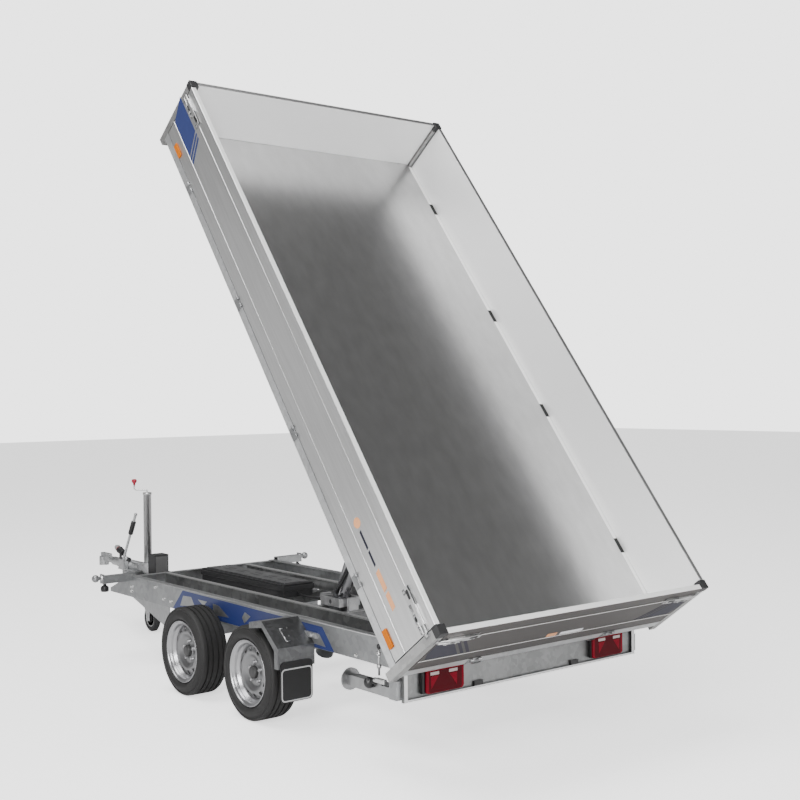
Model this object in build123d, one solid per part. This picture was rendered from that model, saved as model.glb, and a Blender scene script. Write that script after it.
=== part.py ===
from build123d import *
import os
from math import atan2, cos, degrees, hypot, radians, sin

# Tandem-axle tipping trailer, stored with its bed raised to the rear. Millimetres.
# X runs forward, Y to the left and Z up from the ground. Stations along X are counted from
# the raised bed's rear lower corner, and the last lines move every piece so that X is 0 at
# the middle of the whole trailer. The bed is drawn lowered and then turned about the balls.

# Bed and boards
BED_LENGTH = 3500.0
BED_WIDTH = 1840.0
TIP_ANGLE = 52.9
POST_HEIGHT = 451.0
POST_SIZE = 44.0
POST_WALL = 3.0
CAP_HEIGHT = 40.0
CAP_WALL = 3.0
RAIL_DROP = 45.0
BED_RAIL_HEIGHT = 48.0
BED_RAIL_WALL = 3.0
FLOOR_THICKNESS = 3.0
BOARD_THICKNESS = 26.0
BOARD_WALL = 2.0
BOARD_LIFT = 4.0
BOARD_GAP = 6.0
BOARD_TOP_DROP = 6.0
GROOVE_HEIGHTS = (86.0, 270.0)
GROOVE_DEPTH = 3.0
GROOVE_WIDTH = 9.0
HINGE_RADIUS = 7.0
HINGE_LENGTH = 70.0
HINGE_STANDOFF = 0.5
KNUCKLE_GAP = 1.0
STRAP_LENGTH = 60.0
LEAF_RISE = 6.0
LEAF_GAP = 2.0
SIDE_HINGE_INSET = 480.0
SIDE_HINGES = 4
TAIL_HINGE_INSET = 465.0
BEARER_WIDTH = 40.0
BEARERS = 8
LONG_BEAM_SPREAD = 400.0
LONG_BEAM_WIDTH = 50.0
LONG_BEAM_HEIGHT = 34.0
REFLECTOR_LENGTH = 95.0
REFLECTOR_HEIGHT = 34.0
REFLECTOR_REAR_INSET = 157.0
REFLECTOR_FRONT_INSET = 215.0
REFLECTOR_RISE = 100.0
REFLECTOR_THICKNESS = 8.0

# Tipping pivots: balls on the chassis and cups on the bed
PIVOT_STATION = 75.0
PIVOT_HEIGHT = 578.0
PIVOT_SETBACK = 116.5
POST_RISE = 6.0
FRONT_BALL_SETBACK = 214.0
BALL_INSET = 85.0
BALL_RADIUS = 25.0
BALL_STEM_RADIUS = 11.0
BALL_NECK = 26.0
STEM_INSET = 15.0
CUP_CLEARANCE = 0.3
NECK_CLEARANCE = 3.0
CUP_WALL = 8.0

# Chassis frame
SEAT_GAP = 0.3
SHEET = 4.0
RAIL_SPREAD = 580.0
RAIL_BELOW_PIVOT = 6.0
RAIL_HEIGHT = 142.0
RAIL_FLANGE = 42.0
NOSE_LENGTH = 290.0
NOSE_TIP_HEIGHT = 26.0
BEAM_SETBACK = 16.0
BEAM_DEPTH = 56.0
BEAM_HEIGHT = 89.0
BEAM_BELOW_PIVOT = 111.0
BEAM_INSET = 10.0
BEAM_WALL = 5.0
ARM_SIZE = 50.0
ARM_DROP = 12.0
ARM_PLATE = 8.0
INNER_RAIL_SPREAD = 330.0
INNER_RAIL_HEIGHT = 70.0
INNER_RAIL_FLANGE = 36.0
CROSS_HEIGHT = 64.0
CROSS_FLANGE = 40.0
REAR_CROSS_STATION = 760.0

# Axles and wheels
REAR_AXLE_STATION = 1424.0
AXLE_PITCH = 740.0
TYRE_RADIUS = 262.0
TYRE_WIDTH = 195.0
TREAD_WIDTH = 150.0
SHOULDER_DROP = 7.0
SHOULDER_ROUND = 5.0
BULGE_RISE = 38.0
CLINCH_RISE = 4.0
RIM_RADIUS = 182.0
RIM_WELL_RADIUS = 150.0
RIM_SHEET = 5.0
RIM_SEAT = 20.0
RIM_SLOPE = 12.0
SLOPE_SHIFT = 2.0
BEAD_RADIUS = 166.0
BEAD_HALF = 75.0
RIM_LIP = 9.0
DISC_REAR = 16.0
DISC_FACE = 26.0
DISC_CREST = 46.0
DISC_CREST_OUTER = 120.0
DISC_CREST_INNER = 98.0
DISC_BOWL = 84.0
HUB_CAP_RADIUS = 34.0
HUB_CAP_FACE = 56.0
HUB_RADIUS = 68.0
DRUM_RADIUS = 112.0
DRUM_WALL = 8.0
DRUM_FLOOR = 6.0
WHEEL_SPREAD = 704.5
ARM_REACH = 105.0
ARM_RISE = 92.0
AXLE_TUBE_SIZE = 80.0
SADDLE_OVERHANG = 18.0
SADDLE_INSET = 12.0
SADDLE_WIDTH = 28.0
SWING_ARM_INSET = 8.0
SWING_ARM_THICKNESS = 24.0
SWING_ARM_WIDTH = 58.0
BACK_PLATE = 5.0
STUB_RADIUS = 17.5
STUB_END = 5.0
RUNNING_GAP = 6.0

# Mudguards and flaps, measured from the rear axle and from the top of the side rails
GUARD_OUTER = 815.0
GUARD_SHEET = 3.0
GUARD_LIP = 34.0
GUARD_FRONT_SETBACK = 68.0
GUARD_CREST_SETBACK = 194.0
GUARD_REAR_SETBACK = 350.0
GUARD_FRONT_DROP = 16.0
GUARD_CREST_RISE = 5.0
GUARD_KNEE_DROP = 118.0
GUARD_FOOT_DROP = 229.0
GUARD_TAB = 40.0
GUARD_TAB_REACH = 46.0
FLAP_THICKNESS = 6.0
FLAP_LAP = 35.0
FLAP_LENGTH = 214.0
FLAP_INNER = 598.0
FLAP_INSET = 14.0
FLAP_CORNER = 24.0

# Drawbar and coupling
DRAWBAR_DEPTH = 150.0
DRAWBAR_WIDTH = 52.0
DRAWBAR_OVERLAP = 564.5
DRAWBAR_RUN = 1795.0
DRAWBAR_INSET = 2.0
DRAWBAR_FRONT_HALF = 36.0
SADDLE_REACH = 260.0
SADDLE_HALF = 58.0
SADDLE_THICKNESS = 12.0
SADDLE_FRONT_GAP = 90.0
HOUSING_WEB_HALF = 30.0
HOUSING_WEB_INSET = 20.0
HOUSING_RISE = 40.3
HOUSING_LENGTH = 380.0
HOUSING_RADIUS = 38.0
COUPLING_REACH = 405.0
SHAFT_RADIUS = 22.0
BELLOWS_RADIUS = 33.0
BELLOWS_LENGTH = 90.0
COUPLING_RADIUS = 38.0
COUPLING_HEIGHT = 66.0
COUPLING_DROP = 18.0
COUPLING_NECK = 130.0
COUPLING_NECK_LOW = 14.0
COUPLING_NECK_HIGH = 26.0
TONGUE_REACH = 55.0
TONGUE_HALF = 14.0
TONGUE_THICKNESS = 15.0
HANDLE_REAR = 118.0
HANDLE_FRONT = 30.0
HANDLE_HALF = 15.0
HANDLE_LOW = 20.0
HANDLE_HIGH = 48.0
COUPLING_BALL_RADIUS = 25.0
BALL_CLEARANCE = 0.6
SOCKET_DROP = 26.0
BRAKE_SIDE = 66.0
BRAKE_FOOT_SETBACK = 60.0
BRAKE_FOOT_RISE = 5.0
BRAKE_LEAN = 240.0
BRAKE_RISE = 405.0
BRAKE_RADIUS = 10.0
BRAKE_KNOB_RADIUS = 13.0
BRAKE_PLATE_HALF = 45.0

# Jockey wheel
JOCKEY_SETBACK = 365.0
JOCKEY_TUBE_RADIUS = 30.0
JOCKEY_TUBE_BOTTOM = 262.0
JOCKEY_TUBE_LENGTH = 788.0
JOCKEY_WHEEL_RADIUS = 100.0
JOCKEY_WHEEL_WIDTH = 50.0
JOCKEY_TRAIL = 62.0
JOCKEY_PIN_RADIUS = 8.0
CRANK_ANGLE = 51.0
CRANK_LENGTH = 98.0
CRANK_HALF = 7.0
CRANK_THICKNESS = 12.0
CRANK_RISE = 14.0
CRANK_SHAFT_RADIUS = 9.0
CRANK_PIN_RADIUS = 6.0
KNOB_RADIUS = 17.0
KNOB_LENGTH = 38.0
CLAMP_WALL = 9.0
CLAMP_RISE = 10.0
CLAMP_HEIGHT = 74.0
CLAMP_ARM_HALF = 26.0
CLAMP_ARM_INSET = 8.0
CLAMP_GRIP_RADIUS = 16.0
CLAMP_ROD_RADIUS = 7.0
CLAMP_ROD_DROP = 20.0
CLAMP_ROD_END = (60.0, 150.0, 60.0)
FORK_SOCKET_RADIUS = 24.0
FORK_SOCKET_LENGTH = 26.0
FORK_CROWN = 8.0
FORK_CHEEK = 5.0
FORK_CLEARANCE = 6.0
FORK_EYE = 18.0
JOCKEY_HUB_RADIUS = 28.0
JOCKEY_DISH = 8.0
JOCKEY_TREAD_EDGE = 12.0

# Control box and plug
BOX_SETBACK = 150.0
BOX_LENGTH = 105.0
BOX_LEFT = 20.0
BOX_RIGHT = 95.0
BOX_RISE = 10.0
BOX_HEIGHT = 145.0
BOX_PLATE_HALF = 150.0
BOX_PLATE_INSET = 5.0
PLUG_POST = 50.0
PLUG_SETBACK = 80.0
PLUG_HALF = 20.0
PLUG_RISE = 75.0
PLUG_RADIUS = 27.0
PLUG_LENGTH = 130.0
PLUG_LIFT = 42.0

# Rear legs
LEG_SIZE = 54.0
LEG_WALL = 4.0
LEG_RISE = 28.0
LEG_SETOUT = 45.0
LEG_REACH = 304.0
LEG_TAIL = 26.0
LEG_SLIDE = 40.0
LEG_PIN_RADIUS = 9.0
LEG_CHEEK = 6.0
LEG_CLEARANCE = 2.0
LEG_CHEEK_HALF = 24.0
FOOT_RADIUS = 54.0
FOOT_THICKNESS = 10.0

# Light board and lamps
LIGHT_BOARD_HALF = 801.0
LIGHT_BOARD_DROP = 12.0
LIGHT_BOARD_HEIGHT = 139.0
LIGHT_BOARD_LIP = 18.0
LAMP_INNER = 448.0
LAMP_OUTER = 698.0
LAMP_RISE = 24.0
LAMP_HEIGHT = 126.0
LAMP_DEPTH = 36.0
LAMP_CORNER = 12.0
PLATE_LAMP_SPREAD = 335.0
PLATE_LAMP_HALF = 28.0
PLATE_LAMP_HEIGHT = 30.0
PLATE_LAMP_INSET = 2.0

# Tipping cylinder
TRUNNION_STATION = 1635.0
TRUNNION_RISE = 46.7
TRUNNION_RADIUS = 14.0
TRUNNION_INSET = 2.0
EYE_BELOW_FLOOR = 36.0
EYE_RADIUS = 24.0
EYE_CLEARANCE = 0.8
EYE_NECK = 37.3
NECK_SHARE = 0.7
LIFT_HALF = 44.0
LIFT_PLATE = 14.0
BARREL_RADIUS = 55.0
BARREL_LENGTH = 430.0
BARREL_FLOOR = 10.0
STAGES = 4
STAGE_STEP = 9.0
STAGE_CLEARANCE = 0.6
STAGE_RISE = 5.0
STAGE_FLOOR = 12.0
STAGE_BASE = 6.0
RING_HALF_LENGTH = 92.0
RING_HALF_WIDTH = 77.0
RING_HALF_HEIGHT = 25.0
RING_WALL = 12.0
LUG_THICKNESS = 20.0
LUG_HALF = 34.0
LUG_RISE = 28.0
LUG_REAR_GAP = 23.0
LUG_FRONT_GAP = 51.0
LUG_SETBACK = 10.0

# Pump box
PUMP_REAR_GAP = 332.0
PUMP_FRONT_GAP = 49.5
PUMP_SHIFT = -35.0
PUMP_WIDTH = 240.0
PUMP_HEIGHT = 86.0
PUMP_CROSS_INSET = 110.0
LID_INSET = 40.0
LID_MARGIN = 30.0
LID_HEIGHT = 6.0

# Places that follow from the sizes above
tip = radians(TIP_ANGLE)
bed_rear = PIVOT_STATION - PIVOT_SETBACK
bed_front = bed_rear + BED_LENGTH
post_bottom = PIVOT_HEIGHT + POST_RISE
post_top = post_bottom + POST_HEIGHT
bed_rail_bottom = post_bottom + RAIL_DROP
bed_rail_top = bed_rail_bottom + BED_RAIL_HEIGHT
floor_top = bed_rail_top + SEAT_GAP + FLOOR_THICKNESS
board_bottom = bed_rail_top + BOARD_LIFT
board_top = post_top - BOARD_TOP_DROP
half_width = BED_WIDTH / 2
ball_spread = half_width - BALL_INSET
front_beam_station = bed_front - FRONT_BALL_SETBACK
rail_top = PIVOT_HEIGHT - RAIL_BELOW_PIVOT
rail_bottom = rail_top - RAIL_HEIGHT
nose_start = front_beam_station + ARM_SIZE / 2
nose_end = nose_start + NOSE_LENGTH
beam_rear = PIVOT_STATION - BEAM_SETBACK
beam_front = beam_rear + BEAM_DEPTH
beam_top = PIVOT_HEIGHT - BEAM_BELOW_PIVOT
beam_bottom = beam_top - BEAM_HEIGHT
beam_half = ball_spread - BEAM_INSET
beam_end = beam_half + BEAM_WALL
rail_rear = beam_front + SEAT_GAP
cross_half = RAIL_SPREAD - SHEET - SEAT_GAP
cross_bottom = rail_bottom + SHEET + SEAT_GAP
cross_top = cross_bottom + CROSS_HEIGHT
front_channel_rear = nose_start - CROSS_FLANGE
front_axle_station = REAR_AXLE_STATION + AXLE_PITCH
trunnion_height = cross_top + TRUNNION_RISE
eye_height = floor_top - EYE_BELOW_FLOOR
rear_lug = TRUNNION_STATION - RING_HALF_LENGTH - LUG_REAR_GAP - LUG_THICKNESS
front_lug = TRUNNION_STATION + RING_HALF_LENGTH + LUG_FRONT_GAP
pump_rear = front_lug + LUG_THICKNESS + PUMP_REAR_GAP
pump_front = front_channel_rear - PUMP_FRONT_GAP
drawbar_rear = nose_start - DRAWBAR_OVERLAP
drawbar_front = drawbar_rear + DRAWBAR_RUN
drawbar_top = rail_bottom - SEAT_GAP
housing_height = drawbar_top + HOUSING_RISE
jockey_station = drawbar_front - JOCKEY_SETBACK
coupling_station = drawbar_front + COUPLING_REACH
nose_station = coupling_station + TONGUE_REACH


def turned(x, z):
    """A point of the lowered bed, turned up about the rear balls."""
    dx, dz = x - PIVOT_STATION, z - PIVOT_HEIGHT
    return (
        PIVOT_STATION + dx * cos(tip) - dz * sin(tip),
        PIVOT_HEIGHT + dx * sin(tip) + dz * cos(tip),
    )


eye_x, eye_z = turned(TRUNNION_STATION, eye_height)
rod_reach = hypot(eye_x - TRUNNION_STATION, eye_z - trunnion_height)
lean = atan2(TRUNNION_STATION - eye_x, eye_z - trunnion_height)
stage_travel = (rod_reach - (eye_height - trunnion_height)) / STAGES
tail_station = turned(bed_rear - CAP_WALL, post_top)[0]
origin_station = (nose_station + tail_station) / 2

pieces = {}


def block(x0, x1, y0, y1, z0, z1):
    """A box between two stations, two sides and two heights."""
    size = (abs(x1 - x0), abs(y1 - y0), abs(z1 - z0))
    return Pos((x0 + x1) / 2, (y0 + y1) / 2, (z0 + z1) / 2) * Box(*size)


def rod(start, end, radius):
    """A round bar from one point to another."""
    line = Vector(*end) - Vector(*start)
    place = Plane(origin=start, z_dir=line.normalized())
    return place * Cylinder(radius, line.length, align=(Align.CENTER, Align.CENTER, Align.MIN))


def prism(points, y0, y1):
    """A solid with an outline in X and Z, from one side to another."""
    face = make_face(Plane.XZ * Polyline(*points, close=True))
    return Pos(0, max(y0, y1), 0) * extrude(face, amount=abs(y1 - y0))


def ring_about_y(points):
    """A turned piece about an axis along Y. Its outline holds radius and place along Y."""
    return revolve(make_face(Polyline(*points, close=True)), Axis.Y)


def tipped(shape):
    """Turns a piece of the lowered bed up about the rear balls."""
    return shape.rotate(Axis((PIVOT_STATION, 0, PIVOT_HEIGHT), (0, -1, 0)), TIP_ANGLE)


def mirrored(shape):
    """The same piece on the right-hand side."""
    return mirror(shape, about=Plane.XZ)


def add(name, *solids):
    """Keeps one node, made of one or more solids, moved to the trailer's own origin."""
    moved = [Pos(-origin_station, 0, 0) * solid for solid in solids]
    pieces[name] = moved[0] if len(moved) == 1 else Compound(children=moved)


def both(shape):
    """A piece and its mirror image."""
    return [shape, mirrored(shape)]


def channel(x0, x1, y_web, depth, z0, z1):
    """A folded channel along X, its web at y_web and its flanges towards the middle."""
    outer = block(x0, x1, y_web - depth, y_web, z0, z1)
    return outer - block(x0 - 1, x1 + 1, y_web - depth - 1, y_web - SHEET, z0 + SHEET, z1 - SHEET)


# Side rails: a folded channel each, with a nose that tapers ahead of the front tipping beam
def rail_outline(inset):
    """The rail's side view, drawn in by one sheet along its flanges for the hollow."""
    overrun = 1.0 if inset else 0.0
    return [
        (rail_rear - overrun, rail_bottom + inset),
        (nose_end + overrun, rail_bottom + inset),
        (nose_end + overrun, rail_bottom + NOSE_TIP_HEIGHT - inset),
        (nose_start, rail_top - inset),
        (rail_rear - overrun, rail_top - inset),
    ]


rail = prism(rail_outline(0), RAIL_SPREAD - RAIL_FLANGE, RAIL_SPREAD)
rail -= prism(rail_outline(SHEET), RAIL_SPREAD - RAIL_FLANGE - 1, RAIL_SPREAD - SHEET)
add("rail_left", rail)
add("rail_right", mirrored(rail))

# Crossmembers: channels between the side rails, on their lower flanges and open to the front
cross_stations = (
    REAR_CROSS_STATION, rear_lug - LUG_SETBACK, front_lug - LUG_SETBACK, pump_rear + PUMP_CROSS_INSET,
    drawbar_rear,
)


def crossmember(station):
    """One channel across the frame."""
    front = station + CROSS_FLANGE
    bar = block(station, front, -cross_half, cross_half, cross_bottom, cross_top)
    return bar - block(
        station + SHEET, front + 1, -cross_half - 1, cross_half + 1,
        cross_bottom + SHEET, cross_top - SHEET,
    )


add("crossmembers", *[crossmember(station) for station in cross_stations])

# Inner rails: a channel each side of the cylinder, on the crossmembers
inner_bottom = cross_top + SEAT_GAP
inner_rail = channel(
    rail_rear, front_channel_rear - SEAT_GAP, INNER_RAIL_SPREAD, INNER_RAIL_FLANGE,
    inner_bottom, inner_bottom + INNER_RAIL_HEIGHT,
)
add("inner_rail_left", inner_rail)
add("inner_rail_right", mirrored(inner_rail))


# Front tipping beam: a deep channel between the side rails, and an arm outside each of them
def tip_arm():
    """A square tube from the side rail out to a tipping ball."""
    low = PIVOT_HEIGHT - ARM_DROP - ARM_SIZE / 2
    inner = RAIL_SPREAD + SEAT_GAP
    end = ball_spread - BALL_RADIUS - BALL_NECK
    x0, x1 = front_beam_station - ARM_SIZE / 2, front_beam_station + ARM_SIZE / 2
    arm = block(x0, x1, inner, end, low, low + ARM_SIZE)
    arm -= block(x0 + SHEET, x1 - SHEET, inner - 1, end + 1, low + SHEET, low + ARM_SIZE - SHEET)
    arm += block(x0, x1, end - 1, end + ARM_PLATE, low, PIVOT_HEIGHT + ARM_SIZE / 2)
    neck = (front_beam_station, end, PIVOT_HEIGHT)
    head = (front_beam_station, ball_spread, PIVOT_HEIGHT)
    return arm + rod(neck, head, BALL_STEM_RADIUS) + Pos(*head) * Sphere(BALL_RADIUS)


def front_channel():
    """The channel between the rails, open to the rear."""
    x0, x1 = front_channel_rear, front_channel_rear + CROSS_FLANGE
    high = rail_top - SHEET - SEAT_GAP
    bar = block(x0, x1, -cross_half, cross_half, cross_bottom, high)
    return bar - block(
        x0 - 1, x1 - SHEET, -cross_half - 1, cross_half + 1, cross_bottom + SHEET, high - SHEET
    )


add("front_tip_beam", front_channel(), *both(tip_arm()))


# Rear tipping beam: a heavy box tube across the rails' rear ends, with a ball near each end
leg_spread = beam_end - LEG_CHEEK - LEG_CLEARANCE - LEG_SIZE / 2
leg_height = beam_bottom + LEG_RISE
leg_pivot = beam_front + LEG_SETOUT


def rear_beam():
    """The tube with its end plates, leaning stems and balls, and the cheeks that hold the legs."""
    beam = block(beam_rear, beam_front, -beam_half, beam_half, beam_bottom, beam_top)
    beam -= block(
        beam_rear + BEAM_WALL, beam_front - BEAM_WALL, -beam_end, beam_end,
        beam_bottom + BEAM_WALL, beam_top - BEAM_WALL,
    )
    for side in (1, -1):
        beam += block(beam_rear, beam_front, side * (beam_half - 1), side * beam_end, beam_bottom, beam_top)
        root = ((beam_rear + beam_front) / 2, side * (beam_half - STEM_INSET), beam_top - BEAM_WALL + 1)
        head = (PIVOT_STATION, side * ball_spread, PIVOT_HEIGHT)
        beam += rod(root, head, BALL_STEM_RADIUS)
        beam += Pos(*head) * Sphere(BALL_RADIUS)
        for hand in (1, -1):
            near = side * leg_spread + hand * (LEG_SIZE / 2 + LEG_CLEARANCE)
            beam += block(
                beam_front - 1, leg_pivot + LEG_CHEEK_HALF, near, near + hand * LEG_CHEEK,
                leg_height - LEG_CHEEK_HALF, leg_height + LEG_CHEEK_HALF,
            )
        pin_half = LEG_SIZE / 2 + LEG_CLEARANCE + LEG_CHEEK
        beam += rod(
            (leg_pivot, side * leg_spread - pin_half, leg_height),
            (leg_pivot, side * leg_spread + pin_half, leg_height), LEG_PIN_RADIUS,
        )
    return beam


add("rear_tip_beam", rear_beam())

# Axle tubes: square rubber-sprung tubes on brackets under the side rails
tube_height = TYRE_RADIUS + ARM_RISE
arm_inner = RAIL_SPREAD - SWING_ARM_INSET
tube_end = arm_inner - SEAT_GAP
saddle_outer = RAIL_SPREAD - SADDLE_INSET


def axle_tube(axle_station):
    """A square tube across the trailer with a saddle under each side rail."""
    half = AXLE_TUBE_SIZE / 2
    inside = half - BEAM_WALL
    middle = axle_station + ARM_REACH
    tube = block(middle - half, middle + half, -tube_end, tube_end, tube_height - half, tube_height + half)
    tube -= block(
        middle - inside, middle + inside, -tube_end + BEAM_WALL, tube_end - BEAM_WALL,
        tube_height - inside, tube_height + inside,
    )
    for side in (1, -1):
        tube += block(
            middle - half - SADDLE_OVERHANG, middle + half + SADDLE_OVERHANG,
            side * (saddle_outer - SADDLE_WIDTH), side * saddle_outer,
            tube_height + half - 1, rail_bottom - SEAT_GAP,
        )
    return tube


axle_stations = {"front": front_axle_station, "rear": REAR_AXLE_STATION}
add("axle_tubes", *[axle_tube(station) for station in axle_stations.values()])


# Swing arms: one at each end of each tube, with the brake's back plate and the stub axle
def swing_arm(axle_station):
    """An arm from the axle tube down to the stub that carries the left wheel."""
    outer = arm_inner + SWING_ARM_THICKNESS
    run = hypot(ARM_REACH, ARM_RISE)
    bar = Pos(run / 2, 0, 0) * Box(run, SWING_ARM_THICKNESS, SWING_ARM_WIDTH)
    bar += Rot(90, 0, 0) * Cylinder(SWING_ARM_WIDTH / 2, SWING_ARM_THICKNESS)
    bar += Pos(run, 0, 0) * Rot(90, 0, 0) * Cylinder(SWING_ARM_WIDTH / 2, SWING_ARM_THICKNESS)
    slope = degrees(atan2(ARM_RISE, ARM_REACH))
    middle = arm_inner + SWING_ARM_THICKNESS / 2
    arm = Pos(axle_station, middle, TYRE_RADIUS) * Rot(0, -slope, 0) * bar
    plate = ((axle_station, outer - 1, TYRE_RADIUS), (axle_station, plate_face, TYRE_RADIUS))
    stub = ((axle_station, outer, TYRE_RADIUS), (axle_station, WHEEL_SPREAD + STUB_END, TYRE_RADIUS))
    return arm + rod(*plate, DRUM_RADIUS) + rod(*stub, STUB_RADIUS)


plate_face = arm_inner + SWING_ARM_THICKNESS + BACK_PLATE
left_arms = [swing_arm(station) for station in axle_stations.values()]
add("swing_arms", *left_arms, *[mirrored(arm) for arm in left_arms])


# Wheels: a low-profile tyre on a pressed steel rim with its brake drum
def tyre(axle_station):
    """A tyre turned from one section, with a flat tread and rounded sidewalls."""
    half, bead = TYRE_WIDTH / 2, BEAD_HALF - SEAT_GAP
    outer, inner = TREAD_WIDTH / 2 + SHOULDER_ROUND, TREAD_WIDTH / 2 - SHOULDER_ROUND
    shoulder, bulge, clinch = TYRE_RADIUS - SHOULDER_DROP, RIM_RADIUS + BULGE_RISE, RIM_RADIUS + CLINCH_RISE
    section = Polyline((clinch, -bead), (BEAD_RADIUS, -bead), (BEAD_RADIUS, bead), (clinch, bead))
    section += ThreePointArc((clinch, bead), (bulge, half), (shoulder, outer))
    section += Polyline((shoulder, outer), (TYRE_RADIUS, inner), (TYRE_RADIUS, -inner), (shoulder, -outer))
    section += ThreePointArc((shoulder, -outer), (bulge, -half), (clinch, -bead))
    return Pos(axle_station, WHEEL_SPREAD, TYRE_RADIUS) * revolve(make_face(section), Axis.Y)


def rim(axle_station):
    """A rim with a dropped well, a dished disc, a hub with its cap and the brake drum."""
    seat, well = BEAD_RADIUS - SEAT_GAP, RIM_WELL_RADIUS
    lip, bead, inside = BEAD_HALF + RIM_LIP, BEAD_HALF, RIM_SHEET
    half_shell = [
        (RIM_RADIUS, lip), (RIM_RADIUS, bead), (seat, bead), (seat, bead - RIM_SEAT),
        (well, bead - RIM_SEAT - RIM_SLOPE),
    ]
    half_inside = [
        (well - inside, bead - RIM_SEAT - RIM_SLOPE + SLOPE_SHIFT),
        (seat - inside, bead - RIM_SEAT + SLOPE_SHIFT), (seat - inside, bead + inside),
        (RIM_RADIUS - inside, bead + inside), (RIM_RADIUS - inside, lip),
    ]
    shell = half_shell + [(r, -y) for r, y in reversed(half_shell)]
    shell += [(r, -y) for r, y in reversed(half_inside)] + half_inside
    outside = [
        (well - inside + 1, DISC_REAR), (well - inside + 1, DISC_FACE), (DISC_CREST_OUTER, DISC_CREST - 2),
        (DISC_CREST_INNER, DISC_CREST), (DISC_BOWL, DISC_FACE), (HUB_CAP_RADIUS, DISC_FACE - 4),
        (HUB_CAP_RADIUS, HUB_CAP_FACE), (0, HUB_CAP_FACE),
    ]
    hub = [(0, hub_face), (hub_bore, hub_face), (hub_bore, -inner_hub), (HUB_RADIUS, -inner_hub)]
    drum = [
        (HUB_RADIUS, -DRUM_FLOOR), (DRUM_RADIUS - DRUM_WALL, -DRUM_FLOOR),
        (DRUM_RADIUS - DRUM_WALL, -inner_hub), (DRUM_RADIUS, -inner_hub), (DRUM_RADIUS, DISC_REAR / 2),
    ]
    back = [
        (DISC_BOWL, DISC_REAR), (DISC_CREST_INNER + 2, DISC_CREST - 10),
        (DISC_CREST_OUTER - 4, DISC_CREST - 12),
    ]
    wheel = ring_about_y(shell) + ring_about_y(outside + hub + drum + back)
    return Pos(axle_station, WHEEL_SPREAD, TYRE_RADIUS) * wheel


hub_bore = STUB_RADIUS + SEAT_GAP
hub_face = STUB_END + RUNNING_GAP
inner_hub = WHEEL_SPREAD - plate_face - RUNNING_GAP
for place, station in axle_stations.items():
    for kind, solid in (("tyre", tyre(station)), ("rim", rim(station))):
        add(f"{kind}_{place}_left", solid)
        add(f"{kind}_{place}_right", mirrored(solid))


# Mudguards: folded sheet over the rear wheels, with a lip on the outer edge
guard_front = REAR_AXLE_STATION - GUARD_FRONT_SETBACK
guard_crest = REAR_AXLE_STATION - GUARD_CREST_SETBACK
guard_rear = REAR_AXLE_STATION - GUARD_REAR_SETBACK
guard_inner = RAIL_SPREAD + SEAT_GAP
front_edge, crest_edge = rail_top - GUARD_FRONT_DROP, rail_top + GUARD_CREST_RISE
knee, guard_foot = rail_top - GUARD_KNEE_DROP, rail_top - GUARD_FOOT_DROP
fold_line = [
    (guard_front, front_edge), (guard_crest, crest_edge), (guard_rear, knee), (guard_rear, guard_foot)
]


def under_fold(depth):
    """The fold line again, further in by a depth and from its foot to its front."""
    slope = (knee - crest_edge) / (guard_rear - guard_crest)
    shift = depth * (hypot(slope, 1) - slope)
    return [
        (guard_rear + depth, guard_foot), (guard_rear + depth, knee - shift),
        (guard_crest, crest_edge - depth), (guard_front, front_edge - depth),
    ]


def mudguard():
    """A sheet bent along two lines, with a lip that hangs from its outer edge and a tab on the rail."""
    sheet = prism(fold_line + under_fold(GUARD_SHEET), guard_inner, GUARD_OUTER)
    lip = prism(fold_line + under_fold(GUARD_LIP), GUARD_OUTER - GUARD_SHEET, GUARD_OUTER)
    tab_rear = guard_rear + GUARD_TAB_REACH
    tab_rise = (crest_edge - knee) / (guard_crest - guard_rear) * GUARD_TAB_REACH
    tab = fold_line[:2] + [
        (tab_rear, knee + tab_rise), (tab_rear, knee + tab_rise - GUARD_TAB / 2),
        (guard_crest, crest_edge - GUARD_TAB), (guard_front, front_edge - GUARD_TAB),
    ]
    return sheet + lip + prism(tab, guard_inner, guard_inner + GUARD_SHEET)


add("mudguards", *both(mudguard()))
flap_front = guard_rear - SEAT_GAP
flap_top = guard_foot + FLAP_LAP
flap = block(
    flap_front - FLAP_THICKNESS, flap_front, FLAP_INNER, GUARD_OUTER - FLAP_INSET,
    flap_top - FLAP_LENGTH, flap_top,
)
flap = fillet(flap.edges().filter_by(Axis.X).group_by(Axis.Z)[0], FLAP_CORNER)
add("mud_flaps", *both(flap))


# Drawbar: two folded channels that close in to the overrun housing, open towards each other
def drawbar_arm():
    """A channel laid along its slanting line and cut off at the middle plane."""
    rear_half = RAIL_SPREAD - DRAWBAR_INSET
    turn = atan2(rear_half - DRAWBAR_FRONT_HALF, DRAWBAR_RUN)
    length = hypot(DRAWBAR_RUN, rear_half - DRAWBAR_FRONT_HALF)
    low = drawbar_top - DRAWBAR_DEPTH
    bar = block(0, length, -DRAWBAR_WIDTH, 0, low, drawbar_top)
    bar -= block(-1, length + 1, -DRAWBAR_WIDTH - 1, -SHEET, low + SHEET, drawbar_top - SHEET)
    bar = Pos(drawbar_rear, rear_half, 0) * Rot(0, 0, -degrees(turn)) * bar
    return bar - block(drawbar_rear, coupling_station, -rear_half, SEAT_GAP, low - 1, drawbar_top + 1)


drawbar = drawbar_arm()
add("drawbar_left", drawbar)
add("drawbar_right", mirrored(drawbar))

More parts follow.
